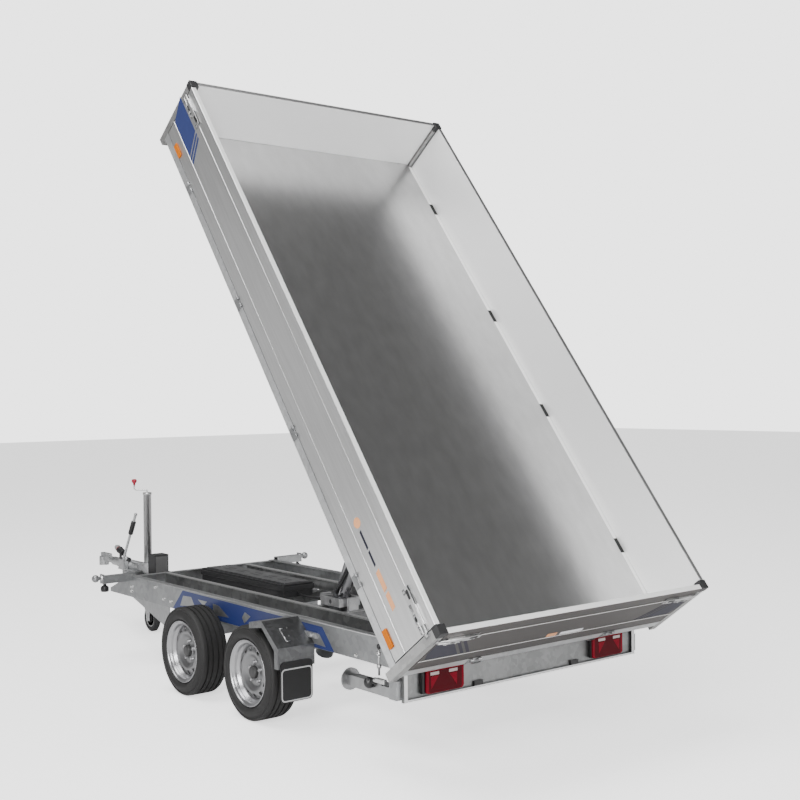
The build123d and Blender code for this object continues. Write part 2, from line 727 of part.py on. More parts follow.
# Overrun housing: a saddle on the drawbar's front end and the tube that the coupling slides in
housing_rear = drawbar_front - SADDLE_REACH
housing_front = housing_rear + HOUSING_LENGTH
saddle_front = housing_front - SADDLE_FRONT_GAP
saddle_bottom = drawbar_top + SEAT_GAP
saddle_top = saddle_bottom + SADDLE_THICKNESS
housing = block(housing_rear, saddle_front, -SADDLE_HALF, SADDLE_HALF, saddle_bottom, saddle_top)
housing += block(
    housing_rear + HOUSING_WEB_INSET, saddle_front - HOUSING_WEB_INSET, -HOUSING_WEB_HALF, HOUSING_WEB_HALF,
    saddle_top - 1, housing_height,
)
housing += rod((housing_rear, 0, housing_height), (housing_front, 0, housing_height), HOUSING_RADIUS)
add("overrun_housing", housing)


def coupling_head():
    """The sliding shaft with its bellows, the ball cup, the front tongue and the handle."""
    start = housing_front + SEAT_GAP
    front, height = coupling_station, housing_height
    shape = rod((start, 0, height), (front, 0, height), SHAFT_RADIUS)
    shape += rod((start, 0, height), (start + BELLOWS_LENGTH, 0, height), BELLOWS_RADIUS)
    shape += Pos(front, 0, height - COUPLING_DROP) * Cylinder(COUPLING_RADIUS, COUPLING_HEIGHT)
    shape += block(
        front - COUPLING_NECK, front, -SHAFT_RADIUS, SHAFT_RADIUS,
        height - COUPLING_NECK_LOW, height + COUPLING_NECK_HIGH,
    )
    shape += block(front, nose_station, -TONGUE_HALF, TONGUE_HALF, height, height + TONGUE_THICKNESS)
    shape += block(
        front - HANDLE_REAR, front + HANDLE_FRONT, -HANDLE_HALF, HANDLE_HALF,
        height + HANDLE_LOW, height + HANDLE_HIGH,
    )
    socket = COUPLING_BALL_RADIUS + BALL_CLEARANCE
    cup_bottom = height - COUPLING_DROP - COUPLING_HEIGHT / 2
    shape -= Pos(front, 0, height - SOCKET_DROP) * Sphere(socket)
    shape -= rod((front, 0, cup_bottom - 1), (front, 0, height - SOCKET_DROP), socket)
    return shape


add("coupling_head", coupling_head())

# Handbrake lever, set leaning to the rear beside the housing
brake_foot = (drawbar_front - BRAKE_FOOT_SETBACK, BRAKE_SIDE, housing_height + BRAKE_FOOT_RISE)
brake_tip = (brake_foot[0] - BRAKE_LEAN, BRAKE_SIDE, brake_foot[2] + BRAKE_RISE)
lever = rod(brake_foot, brake_tip, BRAKE_RADIUS) + Pos(*brake_tip) * Sphere(BRAKE_KNOB_RADIUS)
lever += block(
    brake_foot[0] - BRAKE_PLATE_HALF, brake_foot[0] + BRAKE_PLATE_HALF,
    HOUSING_RADIUS + SEAT_GAP, BRAKE_SIDE + BRAKE_RADIUS,
    saddle_top + SEAT_GAP, housing_height + BRAKE_PLATE_HALF,
)
add("handbrake_lever", lever)

# Jockey wheel: the outer tube in its clamp, with the crank on top
tube_top = JOCKEY_TUBE_BOTTOM + JOCKEY_TUBE_LENGTH
crank_low, crank_high = tube_top + CRANK_RISE, tube_top + CRANK_RISE + CRANK_THICKNESS
knob_low = crank_high + KNOB_LENGTH
jockey_tube = rod(
    (jockey_station, 0, JOCKEY_TUBE_BOTTOM), (jockey_station, 0, tube_top), JOCKEY_TUBE_RADIUS
)
jockey_tube += rod((jockey_station, 0, tube_top - 1), (jockey_station, 0, crank_high), CRANK_SHAFT_RADIUS)
crank = block(0, CRANK_LENGTH + CRANK_HALF, -CRANK_HALF, CRANK_HALF, crank_low, crank_high)
crank += rod((CRANK_LENGTH, 0, crank_low), (CRANK_LENGTH, 0, knob_low), CRANK_PIN_RADIUS)
crank_turn = Pos(jockey_station, 0, 0) * Rot(0, 0, CRANK_ANGLE)
add("jockey_tube", jockey_tube + crank_turn * crank)
knob = rod((CRANK_LENGTH, 0, knob_low + SEAT_GAP), (CRANK_LENGTH, 0, knob_low + KNOB_LENGTH), KNOB_RADIUS)
add("jockey_knob", crank_turn * knob)

clamp_outer = JOCKEY_TUBE_RADIUS + CLAMP_WALL
clamp_low = drawbar_top + CLAMP_RISE
clamp_high = clamp_low + CLAMP_HEIGHT
clamp = rod((jockey_station, 0, clamp_low), (jockey_station, 0, clamp_high), clamp_outer)
clamp += block(
    jockey_station, housing_rear - SEAT_GAP, -CLAMP_ARM_HALF, CLAMP_ARM_HALF,
    clamp_low + CLAMP_ARM_INSET, clamp_high - CLAMP_ARM_INSET,
)
handle_height = clamp_high - CLAMP_ROD_DROP
handle_end = (
    jockey_station + CLAMP_ROD_END[0], CLAMP_ROD_END[1], handle_height + CLAMP_ROD_END[2]
)
handle_start = (jockey_station + CLAMP_WALL, clamp_outer - CLAMP_WALL, handle_height)
clamp += rod(handle_start, handle_end, CLAMP_ROD_RADIUS)
clamp += Pos(*handle_end) * Sphere(CLAMP_GRIP_RADIUS)
clamp -= rod(
    (jockey_station, 0, clamp_low - 1), (jockey_station, 0, clamp_high + 1),
    JOCKEY_TUBE_RADIUS + SEAT_GAP,
)
add("jockey_clamp", clamp)


# Jockey caster: the inner tube with the fork, and the wheel behind it
def jockey_fork():
    """The socket under the tube, the crown and two cheeks with the wheel's pin."""
    top = JOCKEY_TUBE_BOTTOM - SEAT_GAP
    crown = top - FORK_SOCKET_LENGTH
    rear, front = wheel_x - JOCKEY_TUBE_RADIUS, jockey_station + FORK_SOCKET_RADIUS
    outside = fork_cheek + FORK_CHEEK
    fork = rod((jockey_station, 0, crown), (jockey_station, 0, top), FORK_SOCKET_RADIUS)
    fork += block(rear, front, -outside, outside, crown - FORK_CROWN, crown)
    cheek = [
        (front, crown - 1), (rear, crown - 1), (wheel_x - FORK_EYE, JOCKEY_WHEEL_RADIUS - FORK_EYE),
        (wheel_x + FORK_EYE, JOCKEY_WHEEL_RADIUS - FORK_EYE),
    ]
    for side in (1, -1):
        fork += prism(cheek, side * fork_cheek, side * outside)
    axle = ((wheel_x, -fork_cheek - 1, JOCKEY_WHEEL_RADIUS), (wheel_x, fork_cheek + 1, JOCKEY_WHEEL_RADIUS))
    return fork + rod(*axle, JOCKEY_PIN_RADIUS)


wheel_x = jockey_station - JOCKEY_TRAIL
fork_cheek = JOCKEY_WHEEL_WIDTH / 2 + FORK_CLEARANCE
add("jockey_fork", jockey_fork())
half_jockey, jockey_bore = JOCKEY_WHEEL_WIDTH / 2, JOCKEY_PIN_RADIUS + SEAT_GAP
half_section = [
    (jockey_bore, half_jockey), (JOCKEY_HUB_RADIUS, half_jockey),
    (JOCKEY_HUB_RADIUS + JOCKEY_DISH / 2, half_jockey - JOCKEY_DISH),
    (JOCKEY_WHEEL_RADIUS - 38, half_jockey - JOCKEY_DISH), (JOCKEY_WHEEL_RADIUS - 34, half_jockey - 2),
    (JOCKEY_WHEEL_RADIUS - JOCKEY_TREAD_EDGE, half_jockey - 2),
    (JOCKEY_WHEEL_RADIUS, half_jockey - JOCKEY_TREAD_EDGE),
]
jockey_section = half_section + [(radius, -side) for radius, side in reversed(half_section)]
add("jockey_wheel", Pos(wheel_x, 0, JOCKEY_WHEEL_RADIUS) * ring_about_y(jockey_section))

# Control box and plug holder on the drawbar, behind the jockey tube and above the housing
box_x = jockey_station - BOX_SETBACK
box_low = drawbar_top + BOX_RISE
control = block(box_x, box_x + BOX_LENGTH, -BOX_RIGHT, BOX_LEFT, box_low, box_low + BOX_HEIGHT)
control += block(
    box_x + BOX_PLATE_INSET, box_x + BOX_LENGTH - BOX_PLATE_INSET, -BOX_PLATE_HALF, BOX_PLATE_HALF,
    drawbar_top + SEAT_GAP, box_low + 1,
)
add("control_box", control)
plug_x = housing_front - PLUG_SETBACK
plug_low = housing_height + PLUG_RISE
plug = block(
    plug_x, plug_x + PLUG_POST, -PLUG_HALF, PLUG_HALF, housing_height + HOUSING_RADIUS + SEAT_GAP, plug_low
)
plug += rod(
    (plug_x + PLUG_POST / 4, 0, plug_low), (plug_x + PLUG_POST / 4 + PLUG_LENGTH, 0, plug_low + PLUG_LIFT),
    PLUG_RADIUS,
)
add("plug_and_holder", plug)


# Rear legs: stowed pointing forward between cheeks on the rear beam. Each is a square tube with a
# smaller one that slides in it and carries the foot.
def rear_leg():
    """The leg with its foot, bored for the pivot pin and seen stowed."""
    half, inner = LEG_SIZE / 2, LEG_SIZE / 2 - LEG_WALL
    tail, foot = leg_pivot - LEG_TAIL, leg_pivot + LEG_REACH
    sleeve_end = foot - LEG_SLIDE
    middle = (leg_spread, leg_height)

    def square(x0, x1, size):
        y, z = middle
        return block(x0, x1, y - size, y + size, z - size, z + size)

    leg = square(tail, sleeve_end, half) - square(tail - 1, sleeve_end - LEG_SLIDE, inner)
    leg += square(sleeve_end - 1, foot, inner)
    leg += rod((foot - FOOT_THICKNESS, *middle), (foot, *middle), FOOT_RADIUS)
    return leg - rod(
        (leg_pivot, leg_spread - LEG_SIZE, leg_height), (leg_pivot, leg_spread + LEG_SIZE, leg_height),
        LEG_PIN_RADIUS + SEAT_GAP,
    )


leg = rear_leg()
add("leg_left", leg)
add("leg_right", mirrored(leg))

# Light board: a folded sheet behind the rear beam, open to the rear
board_back = beam_rear - SEAT_GAP
board_lip = board_back - LIGHT_BOARD_LIP
light_bottom = beam_bottom - LIGHT_BOARD_DROP
light_top = light_bottom + LIGHT_BOARD_HEIGHT
light_board = block(
    board_lip, board_back, -LIGHT_BOARD_HALF, LIGHT_BOARD_HALF, light_bottom, light_top
)
light_board -= block(
    board_lip - 1, board_back - GUARD_SHEET, -LIGHT_BOARD_HALF + GUARD_SHEET,
    LIGHT_BOARD_HALF - GUARD_SHEET, light_bottom + GUARD_SHEET, light_top + 1,
)
add("light_board", light_board)
lamp_back = board_back - GUARD_SHEET - SEAT_GAP
lamp_bottom = light_bottom + LAMP_RISE
lamp = block(
    lamp_back - LAMP_DEPTH, lamp_back, LAMP_INNER, LAMP_OUTER, lamp_bottom, lamp_bottom + LAMP_HEIGHT
)
lamp = fillet(lamp.edges().filter_by(Axis.X), LAMP_CORNER)
add("tail_lamps", *both(lamp))
plate_lamp_bottom = light_bottom + GUARD_SHEET + SEAT_GAP
plate_lamp = block(
    board_lip + PLATE_LAMP_INSET, lamp_back, PLATE_LAMP_SPREAD - PLATE_LAMP_HALF,
    PLATE_LAMP_SPREAD + PLATE_LAMP_HALF, plate_lamp_bottom, plate_lamp_bottom + PLATE_LAMP_HEIGHT,
)
add("plate_lamps", *both(plate_lamp))

# Pump box on the crossmembers, with its sheet lid
pump_side = PUMP_WIDTH / 2
pump_bottom = cross_top + SEAT_GAP
pump_top = pump_bottom + PUMP_HEIGHT
pump_box = block(
    pump_rear, pump_front, PUMP_SHIFT - pump_side, PUMP_SHIFT + pump_side, pump_bottom, pump_top
)
add("pump_box", pump_box)
lid = block(
    pump_rear + LID_INSET, pump_front - LID_INSET, PUMP_SHIFT - pump_side + LID_MARGIN,
    PUMP_SHIFT + pump_side - LID_MARGIN, pump_top + SEAT_GAP, pump_top + SEAT_GAP + LID_HEIGHT,
)
add("pump_lid", lid)


# Cylinder cradle: a ring on fore and aft pins in two lugs, so that it can also roll
def cradle():
    """The ring with its trunnion holes and its two pins."""
    ring = block(
        TRUNNION_STATION - RING_HALF_LENGTH, TRUNNION_STATION + RING_HALF_LENGTH,
        -RING_HALF_WIDTH, RING_HALF_WIDTH,
        trunnion_height - RING_HALF_HEIGHT, trunnion_height + RING_HALF_HEIGHT,
    )
    ring -= block(
        TRUNNION_STATION - RING_HALF_LENGTH + RING_WALL, TRUNNION_STATION + RING_HALF_LENGTH - RING_WALL,
        -RING_HALF_WIDTH + RING_WALL, RING_HALF_WIDTH - RING_WALL,
        trunnion_height - RING_HALF_HEIGHT - 1, trunnion_height + RING_HALF_HEIGHT + 1,
    )
    ring -= rod(
        (TRUNNION_STATION, -RING_HALF_WIDTH - 1, trunnion_height),
        (TRUNNION_STATION, RING_HALF_WIDTH + 1, trunnion_height),
        TRUNNION_RADIUS + SEAT_GAP,
    )
    rear_pin, front_pin = TRUNNION_STATION - RING_HALF_LENGTH, TRUNNION_STATION + RING_HALF_LENGTH
    ring += rod((rear_pin + 1, 0, trunnion_height), (rear_lug, 0, trunnion_height), TRUNNION_RADIUS)
    front_end = front_lug + LUG_THICKNESS
    return ring + rod((front_pin - 1, 0, trunnion_height), (front_end, 0, trunnion_height), TRUNNION_RADIUS)


def lug(station):
    """A plate that stands on a crossmember and holds one of the ring's pins."""
    front = station + LUG_THICKNESS
    plate = block(station, front, -LUG_HALF, LUG_HALF, cross_top + SEAT_GAP, trunnion_height + LUG_RISE)
    return plate - rod(
        (station - 1, 0, trunnion_height), (front + 1, 0, trunnion_height), TRUNNION_RADIUS + SEAT_GAP
    )


add("cylinder_cradle", cradle(), lug(rear_lug), lug(front_lug))


# Cylinder: a barrel on trunnions and four stages, drawn closed and upright, then run out
def leaning(shape, run_out):
    """Moves a piece up the closed cylinder, then leans it back about the trunnion."""
    moved = Pos(0, 0, run_out) * shape
    return moved.rotate(Axis((TRUNNION_STATION, 0, trunnion_height), (0, -1, 0)), degrees(lean))


barrel_top = eye_height - EYE_NECK - STAGE_RISE * STAGES
barrel_bottom = barrel_top - BARREL_LENGTH
trunnion_end = RING_HALF_WIDTH - TRUNNION_INSET
barrel = rod((TRUNNION_STATION, 0, barrel_bottom), (TRUNNION_STATION, 0, barrel_top), BARREL_RADIUS)
barrel += rod(
    (TRUNNION_STATION, -trunnion_end, trunnion_height), (TRUNNION_STATION, trunnion_end, trunnion_height),
    TRUNNION_RADIUS,
)
barrel -= rod(
    (TRUNNION_STATION, 0, barrel_bottom + BARREL_FLOOR), (TRUNNION_STATION, 0, barrel_top + 1),
    BARREL_RADIUS - STAGE_STEP + STAGE_CLEARANCE,
)
add("cylinder_barrel", leaning(barrel, 0))
for stage in range(1, STAGES + 1):
    radius = BARREL_RADIUS - STAGE_STEP * stage
    foot = barrel_bottom + STAGE_FLOOR * stage
    head = barrel_top + STAGE_RISE * stage
    tube = rod((TRUNNION_STATION, 0, foot), (TRUNNION_STATION, 0, head), radius)
    if stage < STAGES:
        tube -= rod(
            (TRUNNION_STATION, 0, foot + STAGE_BASE), (TRUNNION_STATION, 0, head + 1),
            radius - STAGE_STEP + STAGE_CLEARANCE,
        )
    else:
        tube += rod((TRUNNION_STATION, 0, head - 1), (TRUNNION_STATION, 0, eye_height), radius * NECK_SHARE)
        tube += Pos(TRUNNION_STATION, 0, eye_height) * Sphere(EYE_RADIUS)
    add(f"cylinder_stage_{stage}", leaning(tube, stage_travel * stage))

# Bed rails: square tubes along the sides and across the ends, between the corner posts
post_inner = half_width - POST_SIZE
bed_side = block(
    bed_rear + POST_SIZE + SEAT_GAP, bed_front - POST_SIZE - SEAT_GAP, post_inner, half_width,
    bed_rail_bottom, bed_rail_top,
)
bed_side -= block(
    bed_rear, bed_front, post_inner + BED_RAIL_WALL, half_width - BED_RAIL_WALL,
    bed_rail_bottom + BED_RAIL_WALL, bed_rail_top - BED_RAIL_WALL,
)
rails = []
for x0 in (bed_rear, bed_front - POST_SIZE):
    bed_end = block(
        x0, x0 + POST_SIZE, -post_inner + SEAT_GAP, post_inner - SEAT_GAP, bed_rail_bottom, bed_rail_top
    )
    rails.append(tipped(bed_end - block(
        x0 + BED_RAIL_WALL, x0 + POST_SIZE - BED_RAIL_WALL, -post_inner, post_inner,
        bed_rail_bottom + BED_RAIL_WALL, bed_rail_top - BED_RAIL_WALL,
    )))
add("bed_rails", *rails, *both(tipped(bed_side)))

# Bearers: pressed channels across the bed, open below, between the side rails
bearer_pitch = (BED_LENGTH - 2 * POST_SIZE) / (BEARERS + 1)
bearer_stations = [bed_rear + POST_SIZE + bearer_pitch * (index + 1) for index in range(BEARERS)]
bearer_end = post_inner - SEAT_GAP


def bearer(middle):
    """One channel with its web at the top."""
    outside, inside = BEARER_WIDTH / 2, BEARER_WIDTH / 2 - BED_RAIL_WALL
    bar = block(middle - outside, middle + outside, -bearer_end, bearer_end, bed_rail_bottom, bed_rail_top)
    return bar - block(
        middle - inside, middle + inside, -bearer_end - 1, bearer_end + 1,
        bed_rail_bottom - 1, bed_rail_top - BED_RAIL_WALL,
    )


add("bed_bearers", *[tipped(bearer(middle)) for middle in bearer_stations])

# Long beams: a channel each side of the middle, open above and closed by the bearers
long_top = bed_rail_bottom - SEAT_GAP
long_bottom = long_top - LONG_BEAM_HEIGHT
near, far = LONG_BEAM_SPREAD - LONG_BEAM_WIDTH / 2, LONG_BEAM_SPREAD + LONG_BEAM_WIDTH / 2
long_beam = block(bed_rear + SHEET, bed_front - SHEET, near, far, long_bottom, long_top)
long_beam -= block(
    bed_rear, bed_front, near + BED_RAIL_WALL, far - BED_RAIL_WALL, long_bottom + BED_RAIL_WALL, long_top + 1
)
add("bed_beams", *both(tipped(long_beam)))

# Bed floor: one steel sheet inside the boards
floor_inset = BOARD_THICKNESS + 1.0
floor = block(
    bed_rear + floor_inset, bed_front - floor_inset, -half_width + floor_inset, half_width - floor_inset,
    bed_rail_top + SEAT_GAP, floor_top,
)
for x0 in (bed_rear, bed_front - POST_SIZE):
    for side in (1, -1):
        floor -= block(
            x0 - 1, x0 + POST_SIZE + 1, side * (post_inner - 1), side * (half_width + 1),
            bed_rail_top - 5, floor_top + 5,
        )
add("bed_floor", tipped(floor))

# Corner posts: square tubes with a plastic cap
posts, caps = [], []
for x0 in (bed_rear, bed_front - POST_SIZE):
    post = block(x0, x0 + POST_SIZE, post_inner, half_width, post_bottom, post_top - CAP_WALL)
    post -= block(
        x0 + POST_WALL, x0 + POST_SIZE - POST_WALL, post_inner + POST_WALL, half_width - POST_WALL,
        post_bottom - 1, post_top,
    )
    cap = block(
        x0 - CAP_WALL, x0 + POST_SIZE + CAP_WALL, post_inner - CAP_WALL, half_width + CAP_WALL,
        post_top - CAP_HEIGHT, post_top,
    )
    cap -= block(
        x0 - SEAT_GAP, x0 + POST_SIZE + SEAT_GAP, post_inner - SEAT_GAP, half_width + SEAT_GAP,
        post_top - CAP_HEIGHT - 1, post_top - CAP_WALL + SEAT_GAP,
    )
    posts += both(tipped(post))
    caps += both(tipped(cap))
add("corner_posts", *posts)
add("post_caps", *caps)


# Ball cups: under the bed beside its rails, over the four balls
def ball_cup(station):
    """A block with a half-round hollow, open below and notched for the ball's neck."""
    half = BALL_RADIUS + CUP_CLEARANCE + CUP_WALL
    cup = block(
        station - half, station + half, ball_spread - half, post_inner - SEAT_GAP,
        PIVOT_HEIGHT, bed_rail_top - 1,
    )
    cup -= Pos(station, ball_spread, PIVOT_HEIGHT) * Sphere(BALL_RADIUS + CUP_CLEARANCE)
    neck = ((station, ball_spread - half - 1, PIVOT_HEIGHT), (station, ball_spread, PIVOT_HEIGHT))
    return cup - rod(*neck, BALL_STEM_RADIUS + NECK_CLEARANCE)


cup_solids = []
for station in (PIVOT_STATION, front_beam_station):
    cup_solids += both(tipped(ball_cup(station)))
add("ball_cups", *cup_solids)

# Lift cup: the block between two bearers that the cylinder's ball pushes
lift_rear = max(x for x in bearer_stations if x < TRUNNION_STATION) + BEARER_WIDTH / 2 + SEAT_GAP
lift_front = min(x for x in bearer_stations if x > TRUNNION_STATION) - BEARER_WIDTH / 2 - SEAT_GAP
lift_top = bed_rail_top - SEAT_GAP
lift = block(
    TRUNNION_STATION - LIFT_HALF, TRUNNION_STATION + LIFT_HALF, -LIFT_HALF, LIFT_HALF, eye_height, lift_top
)
lift += block(lift_rear, lift_front, -LIFT_HALF, LIFT_HALF, lift_top - LIFT_PLATE, lift_top)
lift -= Pos(TRUNNION_STATION, 0, eye_height) * Sphere(EYE_RADIUS + EYE_CLEARANCE)
add("lift_cup", tipped(lift))


# Boards: folded aluminium, each with two grooves along its outer face
hinge_out = half_width + HINGE_STANDOFF + HINGE_RADIUS
hinge_rear = bed_rear - HINGE_STANDOFF - HINGE_RADIUS
hinge_height = bed_rail_top


def chambers(x0, x1, y0, y1):
    """The hollows of a board's section, one between each pair of grooves."""
    edges = [board_bottom]
    for height in GROOVE_HEIGHTS:
        edges += [board_bottom + height - GROOVE_WIDTH / 2, board_bottom + height + GROOVE_WIDTH / 2]
    edges.append(board_top)
    return [
        block(x0, x1, y0, y1, low + BOARD_WALL, high - BOARD_WALL)
        for low, high in zip(edges[::2], edges[1::2])
    ]


def side_board():
    """The left board with the middle knuckle of each hinge."""
    x0 = bed_rear + POST_SIZE + BOARD_GAP
    x1 = bed_front - POST_SIZE - BOARD_GAP
    board = block(x0, x1, half_width - BOARD_THICKNESS, half_width, board_bottom, board_top)
    for height in GROOVE_HEIGHTS:
        board -= block(
            x0 - 1, x1 + 1, half_width - GROOVE_DEPTH, half_width + 1,
            board_bottom + height - GROOVE_WIDTH / 2, board_bottom + height + GROOVE_WIDTH / 2,
        )
    for hollow in chambers(
        x0 - 1, x1 + 1, half_width - BOARD_THICKNESS + BOARD_WALL, half_width - BOARD_WALL
    ):
        board -= hollow
    for middle in side_hinge_stations:
        board += board_knuckle(middle)
    return board


def board_knuckle(middle):
    """The knuckle and strap that a side board carries at one hinge."""
    half = HINGE_LENGTH / 5
    knuckle = rod(
        (middle - half, hinge_out, hinge_height), (middle + half, hinge_out, hinge_height), HINGE_RADIUS
    )
    strap = block(
        middle - half, middle + half, half_width - 1, half_width + GUARD_SHEET,
        hinge_height, board_bottom + STRAP_LENGTH,
    )
    return knuckle + strap


def frame_knuckles(middle):
    """The two knuckles and the leaf that the bed carries at one side hinge."""
    inner, outer = HINGE_LENGTH / 5 + KNUCKLE_GAP, HINGE_LENGTH / 2
    leaf = block(
        middle - outer, middle + outer, half_width + SEAT_GAP, half_width + GUARD_SHEET,
        bed_rail_bottom + LEAF_RISE, hinge_height - HINGE_RADIUS - LEAF_GAP,
    )
    for side in (1, -1):
        leaf += block(
            middle + side * inner, middle + side * outer, half_width + SEAT_GAP, half_width + GUARD_SHEET,
            bed_rail_bottom + LEAF_RISE, hinge_height,
        )
        near, far = middle + side * inner, middle + side * outer
        leaf += rod((near, hinge_out, hinge_height), (far, hinge_out, hinge_height), HINGE_RADIUS)
    return leaf


hinge_pitch = (BED_LENGTH - 2 * SIDE_HINGE_INSET) / (SIDE_HINGES - 1)
side_hinge_stations = [bed_rear + SIDE_HINGE_INSET + hinge_pitch * i for i in range(SIDE_HINGES)]
left_board = side_board()
add("board_left", tipped(left_board))
add("board_right", tipped(mirrored(left_board)))
reflectors = []
for middle in (bed_rear + REFLECTOR_REAR_INSET, bed_front - REFLECTOR_FRONT_INSET):
    low = post_bottom + REFLECTOR_RISE
    reflectors.append(tipped(block(
        middle - REFLECTOR_LENGTH / 2, middle + REFLECTOR_LENGTH / 2, half_width + SEAT_GAP,
        half_width + REFLECTOR_THICKNESS, low, low + REFLECTOR_HEIGHT,
    )))
add("reflectors_left", *reflectors)
add("reflectors_right", *[mirrored(reflector) for reflector in reflectors])
side_hinges = []
for middle in side_hinge_stations:
    side_hinges += both(tipped(frame_knuckles(middle)))
add("side_hinges", *side_hinges)


def end_board(x_face, inward):
    """A board across one end. Its outer face is at x_face."""
    half = post_inner - BOARD_GAP
    board = block(x_face, x_face + inward * BOARD_THICKNESS, -half, half, board_bottom, board_top)
    for height in GROOVE_HEIGHTS:
        board -= block(
            x_face - inward, x_face + inward * GROOVE_DEPTH, -half - 1, half + 1,
            board_bottom + height - GROOVE_WIDTH / 2, board_bottom + height + GROOVE_WIDTH / 2,
        )
    outside, inside = x_face + inward * BOARD_WALL, x_face + inward * (BOARD_THICKNESS - BOARD_WALL)
    for hollow in chambers(outside, inside, -half - 1, half + 1):
        board -= hollow
    return board


tailgate = end_board(bed_rear, 1)
tail_hinges = []
for side in (1, -1):
    middle = side * TAIL_HINGE_INSET
    third, outer = HINGE_LENGTH / 5, HINGE_LENGTH / 2
    tailgate += rod(
        (hinge_rear, middle - third, hinge_height), (hinge_rear, middle + third, hinge_height), HINGE_RADIUS
    )
    tailgate += block(
        bed_rear - GUARD_SHEET, bed_rear + 1, middle - third, middle + third,
        hinge_height, board_bottom + STRAP_LENGTH,
    )
    leaf = block(
        bed_rear - GUARD_SHEET, bed_rear - SEAT_GAP, middle - outer, middle + outer,
        bed_rail_bottom + LEAF_RISE, hinge_height - HINGE_RADIUS - LEAF_GAP,
    )
    for hand in (1, -1):
        near, far = middle + hand * (third + KNUCKLE_GAP), middle + hand * outer
        leaf += block(
            bed_rear - GUARD_SHEET, bed_rear - SEAT_GAP, near, far, bed_rail_bottom + LEAF_RISE, hinge_height
        )
        leaf += rod((hinge_rear, near, hinge_height), (hinge_rear, far, hinge_height), HINGE_RADIUS)
    tail_hinges.append(tipped(leaf))
add("tailgate", tipped(tailgate))
add("tail_hinges", *tail_hinges)
headboard = end_board(bed_front, -1)
headboard += block(
    bed_front - BOARD_THICKNESS, bed_front, SEAT_GAP - post_inner, post_inner - SEAT_GAP,
    bed_rail_top + SEAT_GAP, board_bottom + BOARD_WALL,
)
add("headboard", tipped(headboard))

# Every node is written out
os.makedirs("parts", exist_ok=True)
for name, shape in pieces.items():
    export_step(shape, f"parts/{name}.step")
print(len(pieces), "nodes, origin at station", round(origin_station, 3))
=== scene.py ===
from math import cos, pi, radians, sin

import bmesh
import bpy
import numpy as np
from mathutils import Matrix, Vector


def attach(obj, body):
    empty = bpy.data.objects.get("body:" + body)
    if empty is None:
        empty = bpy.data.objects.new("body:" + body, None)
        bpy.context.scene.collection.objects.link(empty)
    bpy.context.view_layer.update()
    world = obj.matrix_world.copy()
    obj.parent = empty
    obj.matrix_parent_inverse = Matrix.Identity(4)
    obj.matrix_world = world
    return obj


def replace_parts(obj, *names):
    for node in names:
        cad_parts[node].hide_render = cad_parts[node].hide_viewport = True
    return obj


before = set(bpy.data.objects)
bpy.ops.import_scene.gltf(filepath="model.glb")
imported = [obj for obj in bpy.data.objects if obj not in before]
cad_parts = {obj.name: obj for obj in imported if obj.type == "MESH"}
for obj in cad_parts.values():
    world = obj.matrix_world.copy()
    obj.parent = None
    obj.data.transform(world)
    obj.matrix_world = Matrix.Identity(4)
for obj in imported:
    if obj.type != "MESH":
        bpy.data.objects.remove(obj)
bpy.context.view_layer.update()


# Side rails and crossmembers. The rails are deep channels folded from sheet steel, with a nose
# that tapers over the drawbar, and the crossmembers are welded between them. The welded frame is
# dipped in zinc, which sets in blotches that catch the light each in its own way.
def new_material(name, colour, metallic, roughness, specular=0.5):
    """A plain finish: one colour and one value each for metal, roughness and specular level."""
    material = bpy.data.materials.new(name)
    material.use_nodes = True
    shader = material.node_tree.nodes["Principled BSDF"]
    shader.inputs["Base Color"].default_value = (*colour, 1.0)
    shader.inputs["Metallic"].default_value = metallic
    shader.inputs["Roughness"].default_value = roughness
    shader.inputs["Specular IOR Level"].default_value = specular
    return material


def add_node(material, kind, **settings):
    """A shader node with its settings, given by the names of its sockets or of its own options."""
    made = material.node_tree.nodes.new(kind)
    for key, value in settings.items():
        if key in made.inputs:
            made.inputs[key].default_value = value
        else:
            setattr(made, key, value)
    return made


def join(material, source, output, target, socket):
    """A link from one node's output to another node's input, each given by its name or number."""
    material.node_tree.links.new(source.outputs[output], target.inputs[socket])


def ramp(material, *stops):
    """A colour ramp whose stops are given as (place, grey) or (place, (r, g, b))."""
    made = material.node_tree.nodes.new("ShaderNodeValToRGB")
    elements = made.color_ramp.elements
    while len(elements) < len(stops):
        elements.new(0.5)
    for element, (where, tone) in zip(elements, stops):
        element.position = where
        element.color = (*tone, 1.0) if isinstance(tone, tuple) else (tone, tone, tone, 1.0)
    return made


def move_roughness(material, noise, low, high):
    """Lets a noise move the roughness between two values."""
    sheen = add_node(material, "ShaderNodeMapRange")
    sheen.inputs["To Min"].default_value = low
    sheen.inputs["To Max"].default_value = high
    join(material, noise, "Fac", sheen, "Value")
    join(material, sheen, "Result", material.node_tree.nodes["Principled BSDF"], "Roughness")


def zinc(name, dark, light, grain, roughness):
    """Dipped zinc: cells round random points, each of one grey, clouded by a slow noise. The same
    noise moves the roughness a little either way."""
    material = new_material(name, (0.6, 0.61, 0.62), 0.88, roughness)
    shader = material.node_tree.nodes["Principled BSDF"]
    where = add_node(material, "ShaderNodeTexCoord")
    cells = add_node(material, "ShaderNodeTexVoronoi", Scale=grain)
    clouds = add_node(material, "ShaderNodeTexNoise", Scale=grain * 0.12, Detail=3.0)
    blend = add_node(material, "ShaderNodeMix", data_type="FLOAT")
    blend.inputs[0].default_value = 0.62
    greys = ramp(material, (0.25, dark), (0.75, light))
    join(material, where, "Object", cells, "Vector")
    join(material, where, "Object", clouds, "Vector")
    join(material, cells, "Color", blend, 2)
    join(material, clouds, "Fac", blend, 3)
    join(material, blend, 0, greys, "Fac")
    join(material, greys, "Color", shader, "Base Color")
    move_roughness(material, clouds, roughness - 0.08, roughness + 0.12)
    return material


